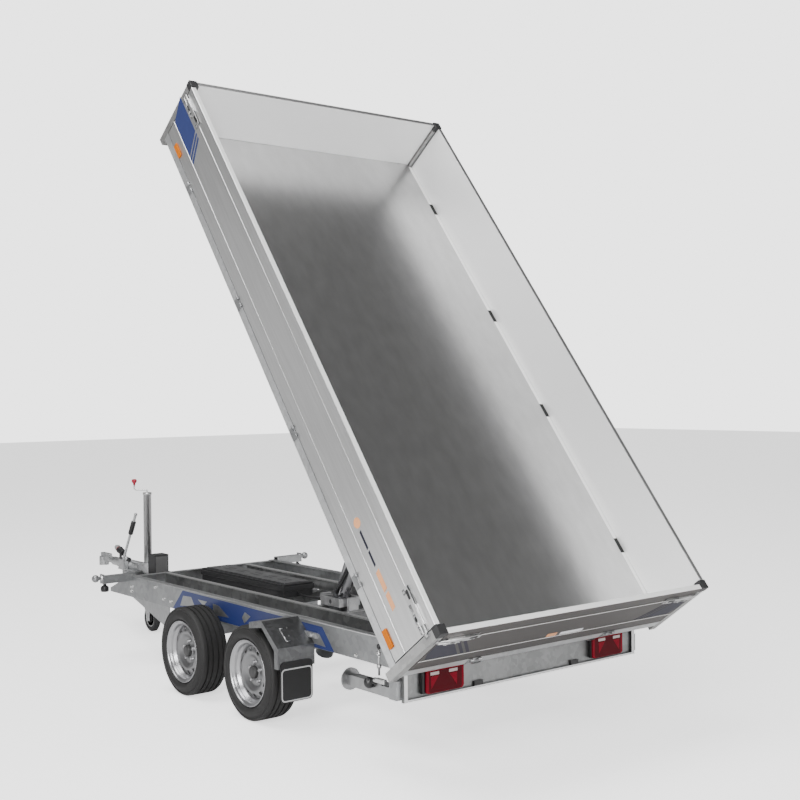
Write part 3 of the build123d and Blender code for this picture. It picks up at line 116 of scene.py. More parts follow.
def dress(material, *nodes):
    """Gives solids of the frame this finish in place of the plain one."""
    for node in nodes:
        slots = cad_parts[node].material_slots
        for slot in slots:
            slot.material = material


frame_zinc = zinc("frame_zinc", (0.25, 0.255, 0.26), (0.37, 0.375, 0.38), 34.0, 0.38)
# The inner rails and crossmembers take a darker copy of the zinc: painted shade for the inside of the
# frame.
shade_zinc = zinc("shade_zinc", (0.19, 0.192, 0.194), (0.36, 0.362, 0.364), 26.0, 0.38)
dress(frame_zinc, "rail_left", "rail_right")
dress(shade_zinc, "crossmembers", "inner_rail_left", "inner_rail_right")


# Rail stickers and bolts. A blue vinyl band runs along each rail's outer face, its ends cut on the
# slant, with slanted windows that show the zinc. Bright bolts hold the drawbar and the guards.
def chassis_place(points):
    """Stations of the chassis in millimetres, as metres of the frame: X less the origin, over 1000."""
    return (np.asarray(points, float) - (2299.21, 0.0, 0.0)) / 1000.0


def grid_faces(grid):
    """The numbers of a grid's points, and its faces: rows run along the surface and columns run
    round it, each face joins four neighbours, and the last column joins the first."""
    rows, columns = grid.shape[:2]
    index = np.arange(rows * columns).reshape(rows, columns)
    far = np.roll(index, -1, axis=1)
    return index, np.stack([index[:-1], far[:-1], far[1:], index[1:]], axis=-1)


def shell(grid, caps):
    """Points and faces of one surface on a grid, with its first and last rows closed by caps. The
    faces are turned round if the volume inside comes out below zero."""
    index, faces = grid_faces(grid)
    points, faces = grid.reshape(-1, 3), faces.reshape(-1, 4)
    corner = points[faces] - points.mean(axis=0)
    volume = np.einsum("ij,ij->i", corner[:, 0], np.cross(corner[:, 1], corner[:, 2])).sum()
    volume += np.einsum("ij,ij->i", corner[:, 0], np.cross(corner[:, 2], corner[:, 3])).sum()
    rings = [index[0][::-1], index[-1]] if caps else []
    if volume < 0:
        faces = faces[:, ::-1]
        rings = [ring[::-1] for ring in rings]
    return points, faces.tolist() + [ring.tolist() for ring in rings]


def new_piece(name, points, faces, material, body, smooth=True):
    """A mesh of one material that rides on a body of the trailer. Points that meet are merged."""
    mesh = bpy.data.meshes.new(name)
    mesh.from_pydata(points.tolist(), [], faces)
    merged = bmesh.new()
    merged.from_mesh(mesh)
    bmesh.ops.remove_doubles(merged, verts=merged.verts, dist=1e-6)
    bmesh.ops.dissolve_degenerate(merged, edges=merged.edges, dist=1e-7)
    merged.to_mesh(mesh)
    merged.free()
    mesh.polygons.foreach_set("use_smooth", np.full(len(mesh.polygons), smooth))
    mesh.materials.append(material)
    piece = bpy.data.objects.new(name, mesh)
    bpy.context.scene.collection.objects.link(piece)
    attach(piece, body)
    return piece


def skin(name, grids, material, body, place=chassis_place, caps=True, smooth=True):
    """One piece made of the surfaces on one or more grids, each put in its place."""
    points, faces, count = [], [], 0
    for grid in grids:
        more_points, more_faces = shell(place(grid), caps)
        points.append(more_points)
        faces += [[corner + count for corner in face] for face in more_faces]
        count += len(more_points)
    return new_piece(name, np.concatenate(points), faces, material, body, smooth)


def pushed(loop, offset):
    """A flat loop of points and the same loop moved by an offset, as the two ends of a plate."""
    loop = np.asarray(loop, float)
    return np.stack([loop, loop + offset])


def circle(radius, sides):
    """Points round a circle: radius times the cosine and the sine of equal steps."""
    angle = np.linspace(0, 2 * pi, sides, endpoint=False)
    return radius * np.column_stack([np.cos(angle), np.sin(angle)])


def turned_form(profile, centre, axis, sides):
    """A profile of (place along the axis, radius) turned about the axis through the centre."""
    profile, axis = np.asarray(profile, float), np.asarray(axis, float)
    first = np.cross(axis, (0, 0, 1) if abs(axis[2]) < 0.7 else (1, 0, 0))
    first /= np.linalg.norm(first)
    second = np.cross(axis, first)
    rim = circle(1.0, sides)
    ray = rim[:, :1] * first + rim[:, 1:] * second
    along = np.asarray(centre, float) + profile[:, :1] * axis
    return along[:, None] + profile[:, 1:, None] * ray[None]


vinyl_blue = new_material("vinyl_blue", (0.016, 0.028, 0.120), 0.0, 0.38)
bright_bolt = new_material("bright_bolt", (0.75, 0.75, 0.74), 1.0, 0.25)
SIDES = ((1, "left"), (-1, "right"))
RAIL_FACE, VINYL = 580.2, 0.6
RAIL_BAND = [(2655, 432), (2524, 560), (1001, 550), (893, 432)]
BAND_WINDOWS = [
    [(2558, 460), (2517, 528), (2416, 532), (2372, 480)],
    [(2332, 528), (2220, 528), (2262, 496)],
    [(2148, 526), (2077, 522), (1962, 466), (2150, 456)],
    [(1781, 524), (1719, 506), (1787, 456), (1814, 487)],
    [(1104, 512), (1024, 506), (969, 447), (1104, 452)],
]
RAIL_BOLTS = [
    (2775, 474), (2680, 470), (3230, 500), (3230, 470), (2890, 536), (700, 450), (350, 450), (350, 540),
]
BOLT_HEAD = [(0, 11), (2, 11), (2.5, 9), (8, 8.6), (9, 7), (9, 0)]
for side, hand in SIDES:
    band = [(x, side * RAIL_FACE, z) for x, z in RAIL_BAND]
    skin(
        f"rail_band_{hand}", [pushed(band, (0, side * VINYL, 0))],
        vinyl_blue, "chassis", smooth=False,
    )
    openings = []
    for outline in BAND_WINDOWS:
        loop = [(x, side * (RAIL_FACE + VINYL + 0.05), z) for x, z in outline]
        openings.append(pushed(loop, (0, side * 0.4, 0)))
    skin(f"rail_windows_{hand}", openings, frame_zinc, "chassis", smooth=False)
    heads = []
    for x, z in RAIL_BOLTS:
        heads.append(turned_form(BOLT_HEAD, (x, side * RAIL_FACE, z), (0, side, 0), 12))
    skin(f"rail_bolts_{hand}", heads, bright_bolt, "chassis", caps=False, smooth=False)


# Bent edges. The folded edges of the rails and of the crossmembers are round because the sheet is
# bent there. Each is drawn in a bright zinc, a painted highlight that shows as a thin light line,
# and thin strips of it on the flat tops of the crossmembers and inner rails are painted highlights too.
def box_grid(x0, x1, y0, y1, z0, z1):
    """A box as two rectangles, one at each end along X."""
    section = np.array([(y0, z0), (y1, z0), (y1, z1), (y0, z1)], float)
    return np.stack([np.column_stack([np.full(4, float(x)), section]) for x in (x0, x1)])


def carried(profile, path, up=(0, 0, 1)):
    """A closed profile carried along a path: path + a * side + b * top, where side is the way
    ahead crossed with up, and top is side crossed with the way ahead."""
    path, profile = np.asarray(path, float), np.asarray(profile, float)
    ahead = np.gradient(path, axis=0)
    ahead /= np.linalg.norm(ahead, axis=1, keepdims=True)
    side = np.cross(ahead, up)
    side /= np.linalg.norm(side, axis=1, keepdims=True)
    top = np.cross(side, ahead)
    return path[:, None] + profile[None, :, :1] * side[:, None] + profile[None, :, 1:] * top[:, None]


def bar(start, end, radius, sides=16):
    """A round bar: a circle carried from one point to the other."""
    ahead = np.subtract(end, start)
    up = (1, 0, 0) if abs(ahead[2]) > 0.7 * np.linalg.norm(ahead) else (0, 0, 1)
    return carried(circle(radius, sides), [start, end], up)


# A bright zinc, used only for painted highlights.
highlight_zinc = new_material("highlight_zinc", (0.62, 0.62, 0.62), 1.0, 0.32)
CROSSMEMBERS = (760.0, 1490.0, 1768.0, 2240.0, 2705.0)
CROSS_WIDTH, CROSS_END, CROSS_TOP = 40.0, 573.0, 498.3
RAILS_REAR = 117.0
# Each rail's two edges across the trailer, its top and its front end
SIDE_RAIL = (538.0, 580.0, 572.0, 3267.0)
INNER_RAIL = (294.0, 330.0, 568.6, 3227.0)
BEND, INSET = 4.0, 3.5
bends = []
for side in (1, -1):
    for near, far, top, front in (SIDE_RAIL, INNER_RAIL):
        for y in (near + INSET, far - INSET):
            bends.append(bar((RAILS_REAR, side * y, top - INSET), (front, side * y, top - INSET), BEND, 12))
for station in CROSSMEMBERS:
    for x in (station + INSET, station + CROSS_WIDTH - INSET):
        bends.append(bar((x, -CROSS_END, CROSS_TOP - INSET), (x, CROSS_END, CROSS_TOP - INSET), BEND, 12))
skin("bent_edges", bends, highlight_zinc, "chassis")

SUNK, SHOWN = 0.1, 0.5
highlight_strips = []
for station in CROSSMEMBERS:
    highlight_strips.append(box_grid(
        station + 1, station + CROSS_WIDTH - 1, -CROSS_END, CROSS_END, CROSS_TOP - SUNK, CROSS_TOP + SHOWN
    ))
near, far, top, front = INNER_RAIL
for side in (1, -1):
    across = (side * (near + 1), side * (far - 1))
    highlight_strips.append(box_grid(RAILS_REAR, front, *across, top - SUNK, top + SHOWN))
skin("highlight_flanges", highlight_strips, highlight_zinc, "chassis", smooth=False)


# Axles. Each is a zinc-coated square tube with rubber-sprung arms that swing a wheel at either end.
axle_zinc = zinc("axle_zinc", (0.22, 0.225, 0.23), (0.38, 0.385, 0.39), 30.0, 0.45)
dress(axle_zinc, "axle_tubes", "swing_arms")


# Tyres. Low wide trailer tyres of black rubber, moulded in one piece with four grooves round the
# tread, and held on their rims by the air inside.
AXLES = (("front", 2164.0), ("rear", 1424.0))
TYRE_MIDDLE, WHEEL_HEIGHT = 704.5, 262.0
rubber = new_material("tyre_black", (0.013, 0.0125, 0.0125), 0.0, 0.66)


def tyre_profile():
    """The tyre's closed outline as (place across it, radius): bead, sidewall arc, shoulder, tread
    with four square grooves, and the same the other way round."""
    bead_half, flange, shoulder, tread, groove = 74.0, 184.0, 250.0, 261.8, 254.0
    swell = np.linspace(0, 1, 9)
    bulge = 23.5 * np.sin(pi * swell ** 0.8) - 0.5
    wall = np.column_stack([bead_half + np.maximum(bulge, 0.0), flange + (shoulder - flange) * swell])
    wall[-1] = (84.5, shoulder)
    half = [(bead_half, 167.0)] + wall.tolist() + [(80.0, 256.5), (71.0, 260.8)]
    for middle in (50.0, 18.0):
        half += [(middle + 5, tread), (middle + 4, groove), (middle - 4, groove), (middle - 5, tread)]
    half = np.array(half)
    return np.concatenate([half, half[::-1] * (-1, 1), half[:1]])


def ring(profile, station, side):
    """A section turned about the axle of one wheel, outer side away from the middle."""
    centre = (station, side * TYRE_MIDDLE, WHEEL_HEIGHT)
    return turned_form(profile * (side, 1), centre, (0, 1, 0), 96)


tyre_section = tyre_profile()
for place, station in AXLES:
    for side, hand in SIDES:
        tyre = skin(
            f"wheel_tyre_{place}_{hand}", [ring(tyre_section, station, side)], rubber,
            f"wheel_{place}_{hand}", caps=False,
        )
        split = tyre.modifiers.new("edges", "EDGE_SPLIT")
        split.split_angle = radians(40)
        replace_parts(tyre, f"tyre_{place}_{hand}")


# Wheel rims. Each is a rolled steel band with a dropped well and a pressed disc welded inside it,
# painted silver. Slots round the disc let the brake cool, five bolts hold it to the hub, and a
# pressed cap closes the bearing. The brake drum behind is dark cast iron.
rim_paint = new_material("rim_paint", (0.42, 0.42, 0.43), 0.92, 0.30)
# The disc is a darker grey than the band: painted shade for the recess inside the band.
shaded_disc_paint = new_material("shaded_disc_paint", (0.25, 0.25, 0.255), 0.9, 0.34)
hub_grey = new_material("hub_grey", (0.07, 0.07, 0.07), 0.7, 0.4)
# The drum is drawn near black: its own dark iron, and painted shade seen through the slots.
drum_iron_and_shade = new_material("drum_iron_and_shade", (0.012, 0.011, 0.011), 0.2, 0.7)
RIM_BAND = np.array([
    (82, 183.5), (84.5, 182.5), (85.5, 180), (84, 177), (79, 175.5), (76, 172), (75, 166), (72, 162),
    (58, 160), (52, 157), (44, 148), (36, 145), (-36, 145), (-44, 148), (-52, 157), (-72, 162),
    (-76, 172), (-84, 177), (-84, 183), (-80, 180), (-77, 168), (-70, 165), (-54, 162), (-46, 153),
    (-36, 149), (36, 149), (46, 153), (54, 162), (72, 165.7), (77.5, 168), (79, 178), (82, 183.5),
], float)
DISC = np.array([
    (24, 145.5), (31, 144), (35, 141), (37.5, 138), (42, 127), (45.5, 119), (46.5, 111), (45, 102),
    (40, 94), (32, 86), (27, 78), (25, 70), (25, 42), (27, 37), (33, 35.5),
], float)
CAP = np.array([(31, 35.5), (50, 33.5), (53.5, 31), (55, 26), (56, 12), (56, 0)], float)
BOLT_CIRCLE, FIRST_BOLT = 56.0, 0.3
BOLT = np.array([(25, 13.5), (27, 13.5), (30, 10), (42, 9.5), (44, 8), (44.5, 0)], float)
DRUM = np.array([(10, 30), (10, 113), (-30, 113), (-30, 30)], float)


def slotted_disc(station, side):
    """The disc as a grid in radius and angle. Faces between three rows of the profile are left out
    over three columns in every eight, which leaves twelve slots. The sheet is thickened later."""
    grid = chassis_place(ring(DISC, station, side))
    faces = grid_faces(grid)[1]
    if side > 0:
        faces = faces[..., ::-1]
    keep = np.ones(faces.shape[:2], bool)
    keep[3:5, np.arange(keep.shape[1]) % 8 < 3] = False
    return grid.reshape(-1, 3), faces[keep].tolist()


for place, station in AXLES:
    for side, hand in SIDES:
        body, tag = f"wheel_{place}_{hand}", f"{place}_{hand}"
        rolled = skin(
            f"rim_band_{tag}", [ring(RIM_BAND, station, side)], rim_paint, body, caps=False
        )
        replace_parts(rolled, f"rim_{tag}")
        points, faces = slotted_disc(station, side)
        disc = new_piece(f"rim_disc_{tag}", points, faces, shaded_disc_paint, body)
        wall = disc.modifiers.new("wall", "SOLIDIFY")
        wall.thickness = 0.004
        wall.offset = -1.0
        skin(f"hub_cap_{tag}", [ring(CAP, station, side)], hub_grey, body, caps=False)
        bolts = []
        for turn in np.arange(5) * 2 * pi / 5 + FIRST_BOLT:
            ahead, rise = BOLT_CIRCLE * cos(turn), BOLT_CIRCLE * sin(turn)
            centre = (station + ahead, side * TYRE_MIDDLE, WHEEL_HEIGHT + rise)
            bolts.append(turned_form(BOLT * (side, 1), centre, (0, 1, 0), 12))
        skin(f"rim_bolts_{tag}", bolts, rim_paint, body, caps=False)
        skin(f"brake_drum_{tag}", [ring(DRUM, station, side)], drum_iron_and_shade, body, caps=False)


# Mudguards and flaps. Each guard is one folded zinc-coated sheet with a lip along its outer edge, and
# a flap of black rubber with a pale moulded border hangs from its rear edge. A lug bolts it to the
# rail. A pressed angle and two dimples stiffen the sheet's slope.
guard_zinc = zinc("guard_zinc", (0.115, 0.117, 0.12), (0.20, 0.203, 0.206), 46.0, 0.36)
dress(guard_zinc, "mudguards")
flap_black = new_material("flap_black", (0.006, 0.006, 0.0065), 0.0, 0.6)
flap_border = new_material("flap_border", (0.42, 0.42, 0.42), 0.0, 0.5)
guard_bright = zinc("guard_bright", (0.36, 0.363, 0.366), (0.56, 0.563, 0.566), 60.0, 0.28)


def soften(piece, width, segments=2):
    """Rounds the piece's sharp edges and keeps its flats flat in the shading."""
    bevel = piece.modifiers.new("edges", "BEVEL")
    bevel.width = width
    bevel.segments = segments
    bevel.limit_method = "ANGLE"
    bevel.angle_limit = radians(30)
    bevel.harden_normals = True
    return piece


def rounded_outline(y0, y1, z0, z1, radius, steps=6):
    """A rectangle with quarter-circle corners: each corner's centre plus the radius times the cosine
    and sine of equal steps."""
    corners = ((y1, z1, -1, -1, 0), (y0, z1, 1, -1, 1), (y0, z0, 1, 1, 2), (y1, z0, -1, 1, 3))
    arcs = []
    for y, z, inward, upward, quarter in corners:
        turn = np.linspace(0, pi / 2, steps) + quarter * pi / 2
        arcs.append(np.column_stack([
            y + inward * radius + radius * np.cos(turn), z + upward * radius + radius * np.sin(turn)
        ]))
    return np.concatenate(arcs)


def on_flap(outline, x, side):
    """A flat outline of (across from the middle, height) at one station."""
    return np.column_stack([np.full(len(outline), x), side * outline[:, 0], outline[:, 1]])


SLOPE_FOOT = np.array((1074.0, 0.0, 454.0))
SLOPE = np.array((156.0, 0.0, 123.0)) / np.hypot(156.0, 123.0)
SLOPE_OUT = np.array((-123.0, 0.0, 156.0)) / np.hypot(156.0, 123.0)


def ridge(side, start, end):
    """A low round ridge on the guard's slope, 1 mm proud of the sheet, between two places given as
    (distance up the slope, across from the middle)."""
    ends = [SLOPE_FOOT + (0, side * y, 0) + SLOPE * along + SLOPE_OUT for along, y in (start, end)]
    return bar(*ends, 3.0, 10)


# The ridges and dimples are drawn in the brighter zinc: a painted highlight where the pressed sheet catches
# the light.
RIDGES = [
    ((40, 738), (128, 738)), ((128, 738), (128, 716)), ((40, 738), (40, 716)),
    ((70, 706), (74, 706)), ((126, 690), (130, 690)),
]
FLAP_FACE, FLAP_WALL, BORDER = 1067.2, (6, 0, 0), (0.6, 0, 0)
RAIL_SIDE, LUG_FACE = 580.4, 596.0
LUG_BOLT = [(0, 13), (9, 13), (10, 9), (14, 9), (14, 0)]
flaps, borders, marks, lugs = [], [], [], []
for side in (1, -1):
    hanging = on_flap(rounded_outline(598, 801, 164, 378, 24), FLAP_FACE + 0.5, side)
    flaps.append(pushed(hanging, FLAP_WALL))
    outer = on_flap(rounded_outline(602, 797, 168, 342, 22), FLAP_FACE, side)
    inner = on_flap(rounded_outline(609, 790, 175, 335, 17), FLAP_FACE, side)
    borders.append(np.stack([outer, inner, inner + BORDER, outer + BORDER, outer]))
    marks += [ridge(side, start, end) for start, end in RIDGES]
    lugs.append(box_grid(1040, 1150, side * RAIL_SIDE, side * LUG_FACE, 482, 512))
    lugs.append(turned_form(LUG_BOLT, (1080, side * LUG_FACE, 497), (0, side, 0), 12))
flap = skin("rubber_flaps", flaps, flap_black, "chassis", smooth=False)
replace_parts(flap, "mud_flaps")
skin("flap_borders", borders, flap_border, "chassis", caps=False, smooth=False)
skin("guard_marks", marks, guard_bright, "chassis")
soften(skin("guard_lugs", lugs, guard_bright, "chassis", smooth=False), 0.003)


# Drawbar and coupling. Two converging zinc-coated channels carry a cast overrun housing, with a
# ribbed black bellows where the shaft slides in. The pressed coupling head has a lifting handle, and
# the handbrake lever is a flat bar with a black sleeve and a bright knob.
dress(frame_zinc, "drawbar_left", "drawbar_right")
cast_zinc = zinc("cast_zinc", (0.34, 0.345, 0.35), (0.60, 0.605, 0.61), 60.0, 0.34)
dress(cast_zinc, "overrun_housing", "coupling_head", "handbrake_lever")
grip_black = new_material("grip_black", (0.012, 0.012, 0.013), 0.0, 0.4)
BELLOWS_START, BELLOWS_END, FOLD_PITCH = 4621.0, 4712.0, 11
bellows = [(BELLOWS_START, 0)]
for start in BELLOWS_START + 1 + FOLD_PITCH * np.arange(8):
    bellows += [(start, 27), (start + 2, 33), (start + 6, 33), (start + 9, 27)]
bellows += [(BELLOWS_END, 27), (BELLOWS_END, 0)]
bellows_grid = turned_form(bellows, (0, 0, 470), (1, 0, 0), 28)
skin("bellows", [bellows_grid], grip_black, "chassis", caps=False)
LEVER_FOOT = np.array((4440.0, 66.0, 475.0))
LEVER_TIP = np.array((4200.0, 66.0, 880.0))
SLEEVE_SPAN, SLEEVE_RADIUS = (0.62, 0.86), 19
sleeve = [LEVER_FOOT + (LEVER_TIP - LEVER_FOOT) * share for share in SLEEVE_SPAN]
sleeve_grid = bar(*sleeve, SLEEVE_RADIUS, 20)
soften(skin("lever_sleeve", [sleeve_grid], grip_black, "chassis"), 0.003)


# Jockey wheel. A zinc-plated outer tube in a clamp on the drawbar, a bent crank with a red moulded
# knob on top, and a fork below with a small solid rubber wheel. The clamp has a black-tipped handle.
plated = new_material("plated", (0.62, 0.62, 0.62), 1.0, 0.36)
knob_red = new_material("knob_red", (0.36, 0.012, 0.035), 0.0, 0.3)
dress(cast_zinc, "jockey_clamp", "jockey_fork")
JOCKEY = 4135.0
CRANK_TURN, CRANK_REACH = radians(51.0), 98
reach = np.array((cos(CRANK_TURN), sin(CRANK_TURN), 0.0))
foot = np.array((JOCKEY, 0.0, 0.0))
TUBE = [(262, 0), (262, 30), (1032, 30), (1032, 33), (1047, 33), (1050, 30), (1050, 0)]
tube = [turned_form(TUBE, foot, (0, 0, 1), 32)]
crank = [foot + reach * out + (0, 0, height) for out, height in (
    (0, 1040), (0, 1062), (4, 1068), (12, 1070), (84, 1070), (94, 1073),
    (CRANK_REACH, 1080), (CRANK_REACH, 1112),
)]
tube.append(carried(circle(5.5, 12), crank, np.cross(reach, (0, 0, 1))))
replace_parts(skin("jockey_outer_tube", tube, plated, "chassis"), "jockey_tube")
CRANK_KNOB = [
    (1107, 0), (1107, 8), (1118, 9), (1124, 14), (1130, 19), (1143, 20), (1150, 16), (1152, 10), (1152, 0),
]
knob_piece = skin(
    "crank_knob", [turned_form(CRANK_KNOB, foot + reach * CRANK_REACH, (0, 0, 1), 24)],
    knob_red, "chassis", caps=False,
)
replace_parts(knob_piece, "jockey_knob")
CLAMP_GRIP = [(0, 0), (0, 9), (3, 15), (12, 17), (30, 17), (36, 13), (38, 0)]
clamp_grip = turned_form(CLAMP_GRIP, (4195.0, 150.0, 554.0), (-0.26, -0.82, -0.5), 20)
skin("clamp_grip", [clamp_grip], grip_black, "chassis", caps=False)
wheel_rubber = new_material("wheel_rubber", (0.02, 0.02, 0.021), 0.0, 0.6)
dress(wheel_rubber, "jockey_wheel")
ROLLER_HUB = [
    (-24, 0), (-24, 24), (-17, 28), (-17, 56), (-21, 60), (-21, 64),
    (21, 64), (21, 60), (17, 56), (17, 28), (24, 24), (24, 0),
]
TRAIL, ROLLER_HEIGHT = 62, 100
skin(
    "jockey_hub", [turned_form(ROLLER_HUB, (JOCKEY - TRAIL, 0, ROLLER_HEIGHT), (0, 1, 0), 32)],
    plated, "jockey_roller", caps=False,
)


# Control box and plug. A black moulded box with a ribbed grey face holds the pump's hand control.
# The trailer's plug, a grey six-sided moulding with a red band, is parked in a black holder.
box_black = new_material("box_black", (0.014, 0.014, 0.015), 0.0, 0.45)
dress(box_black, "control_box")
face_grey = new_material("face_grey", (0.10, 0.10, 0.10), 0.3, 0.45)
BOX_FACE, RIB_PITCH, RIB_WIDTH = 3983.6, 18, 10
box_front = [box_grid(BOX_FACE, BOX_FACE + 1.1, -88, 13, 452, 572)]
for start in -80 + RIB_PITCH * np.arange(5):
    box_front.append(box_grid(BOX_FACE - 1, BOX_FACE, start, start + RIB_WIDTH, 460, 564))
skin("box_front", box_front, face_grey, "chassis", smooth=False)
plug_foot = np.array((4552.5, 0.0, 545.0))
plug_way = np.array((130.0, 0.0, 42.0)) / np.hypot(130.0, 42.0)
HOLDER = np.array([(0, 0), (0, 22), (6, 26), (58, 26), (62, 28), (72, 28), (76, 24), (76, 0)], float)
PLUG_BAND = np.array([(76, 0), (76, 24.5), (83, 24.5), (83, 0)], float)
PLUG = np.array([(83, 0), (83, 25), (112, 25), (122, 21), (134, 17), (134, 0)], float)
holder = [turned_form(HOLDER, plug_foot, plug_way, 28)]
holder.append(box_grid(4541, 4589, -19, 19, 508.6, 546))
holder_piece = skin("plug_holder", holder, box_black, "chassis", caps=False)
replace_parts(soften(holder_piece, 0.002), "plug_and_holder")
plug_red = new_material("plug_red", (0.25, 0.01, 0.015), 0.0, 0.4)
band_grid = turned_form(PLUG_BAND, plug_foot, plug_way, 28)
skin("plug_band", [band_grid], plug_red, "chassis", caps=False)
plug_grey = new_material("plug_grey", (0.30, 0.30, 0.30), 0.0, 0.45)
plug_grid = turned_form(PLUG, plug_foot, plug_way, 6)
plug = skin("parked_plug", [plug_grid], plug_grey, "chassis", caps=False, smooth=False)
soften(plug, 0.002)


# Tipping beams. A front and a rear beam end in round balls, and the cups of the bed rest on them. At
# each ball a steel locking pin with a black moulded grip holds the cup down or lets it go.
dress(frame_zinc, "front_tip_beam", "rear_tip_beam")
BALL_HEIGHT = 578.0
FRONT_BEAM, FRONT_PIN, COLLAR_PLACE = 3244.5, 770.0, 781.0
REAR_PIN_STATION, REAR_PIN = 218.0, 806.0
GRIP = np.array([(0, 0), (0, 10), (-8, 12), (-16, 24), (-24, 27), (-44, 27), (-50, 22), (-52, 0)], float)
KNOB = np.array([(0, 0), (0, 9), (6, 11), (16, 11), (20, 7), (20, 0)], float)
GUIDE = np.array([(0, 0), (0, 11), (16, 11), (16, 0)], float)
COLLAR = np.array([(0, 0), (0, 20), (10, 20), (14, 15), (18, 15), (18, 0)], float)
grips, shanks, collars = [], [], []
for side in (1, -1):
    front_pin, rear_pin = side * FRONT_PIN, side * REAR_PIN
    grips.append(turned_form(GRIP, (FRONT_BEAM, front_pin, 536.0), (0, 0, 1), 24))
    shanks.append(bar((FRONT_BEAM, front_pin, 548), (FRONT_BEAM, front_pin, 532), 7))
    collar_foot = (FRONT_BEAM, side * COLLAR_PLACE, BALL_HEIGHT)
    collars.append(turned_form(COLLAR, collar_foot, (0, side, 0), 24))
    shanks.append(bar((REAR_PIN_STATION, rear_pin, 466), (REAR_PIN_STATION, rear_pin, 600), 5))
    for height in (500.0, 560.0):
        shanks.append(turned_form(GUIDE, (REAR_PIN_STATION, rear_pin, height), (0, 0, 1), 16))
    grips.append(turned_form(KNOB, (REAR_PIN_STATION, rear_pin, 592.0), (0, 0, 1), 16))
skin("locking_grips", grips, grip_black, "chassis", caps=False)
skin("locking_shanks", shanks, plated, "chassis")
skin("ball_collars", collars, plated, "chassis", caps=False)


# Rear support legs. A square zinc-coated tube with a dished foot, stowed forward under the bed. A
# spring plunger with a black knob, on a bright bracket of the rear beam, holds it up or down.
leg_zinc = zinc("leg_zinc", (0.26, 0.262, 0.265), (0.36, 0.362, 0.365), 40.0, 0.28)
dress(leg_zinc, "leg_left", "leg_right")
PLUNGER = np.array([
    (0, 0), (0, 17), (4, 24), (10, 27), (22, 27), (30, 23), (33, 11), (46, 12), (50, 15), (64, 15), (64, 0),
], float)
FOOT = np.array([
    (464.2, 0), (464.2, 38), (460, 48), (457, 53), (461, 53.5), (466, 47), (469, 30), (469, 0),
], float)
LEG, LEG_HEIGHT = 795.0, 406.0
BRACKET, BRACKET_HALF = 837.0, 11.0
for side, hand in SIDES:
    foot_grid = turned_form(FOOT, (0, side * LEG, LEG_HEIGHT), (1, 0, 0), 40)
    skin(f"support_foot_{hand}", [foot_grid], leg_zinc, f"support_{hand}", caps=False)
    plunger_way = (-0.93, side * -0.06, 0.36)
    plunger = turned_form(PLUNGER, (272.0, side * 836.0, 424.0), plunger_way, 28)
    skin(f"plunger_{hand}", [plunger], grip_black, "chassis", caps=False)
    across = (side * (BRACKET - BRACKET_HALF), side * (BRACKET + BRACKET_HALF))
    bracket = [box_grid(130, 200, *across, 442, 464)]
    bracket.append(bar((196, side * BRACKET, 454), (226, side * BRACKET, 444), 10, 20))
    soften(skin(f"plunger_bracket_{hand}", bracket, plated, "chassis"), 0.004)


# Light board and lamps. A zinc-coated sheet, folded along its lower edge and closed by end plates,
# carries red moulded lenses on black bases, each with two clear windows at the top and a paler
# three-cornered reflector below each window. The plate lamps are small black mouldings.
board_zinc = zinc("board_zinc", (0.17, 0.173, 0.173), (0.25, 0.253, 0.253), 44.0, 0.36)
dress(board_zinc, "light_board")
FOLD_REAR, FOLD_FRONT, FOLD_END = 40.1, 40.7, 799.0
# The strip along the folded lower edge and the end plates are in the bright zinc: painted highlights.
folds = [box_grid(FOLD_REAR, FOLD_FRONT, -FOLD_END, FOLD_END, 366.5, 377)]
for side in (1, -1):
    folds.append(box_grid(FOLD_REAR, FOLD_FRONT, side * (FOLD_END - 20), side * FOLD_END, 377, 504))
skin("light_board_folds", folds, highlight_zinc, "chassis", smooth=False)
lens_red = new_material("lens_red", (0.055, 0.0, 0.003), 0.0, 0.25, 0.1)
lens_bright = new_material("lens_bright", (0.15, 0.0, 0.008), 0.0, 0.25, 0.1)
lens_clear = new_material("lens_clear", (0.42, 0.34, 0.33), 0.0, 0.2)
lamp_black = new_material("lamp_black", (0.005, 0.0045, 0.005), 0.0, 0.45)


def on_lamp(side, outline, front, back):
    """A flat outline on the lamp's face, (across from the middle, height), between two depths."""
    loop = [(front, side * across, height) for across, height in outline]
    return pushed(loop, (back - front, 0, 0))


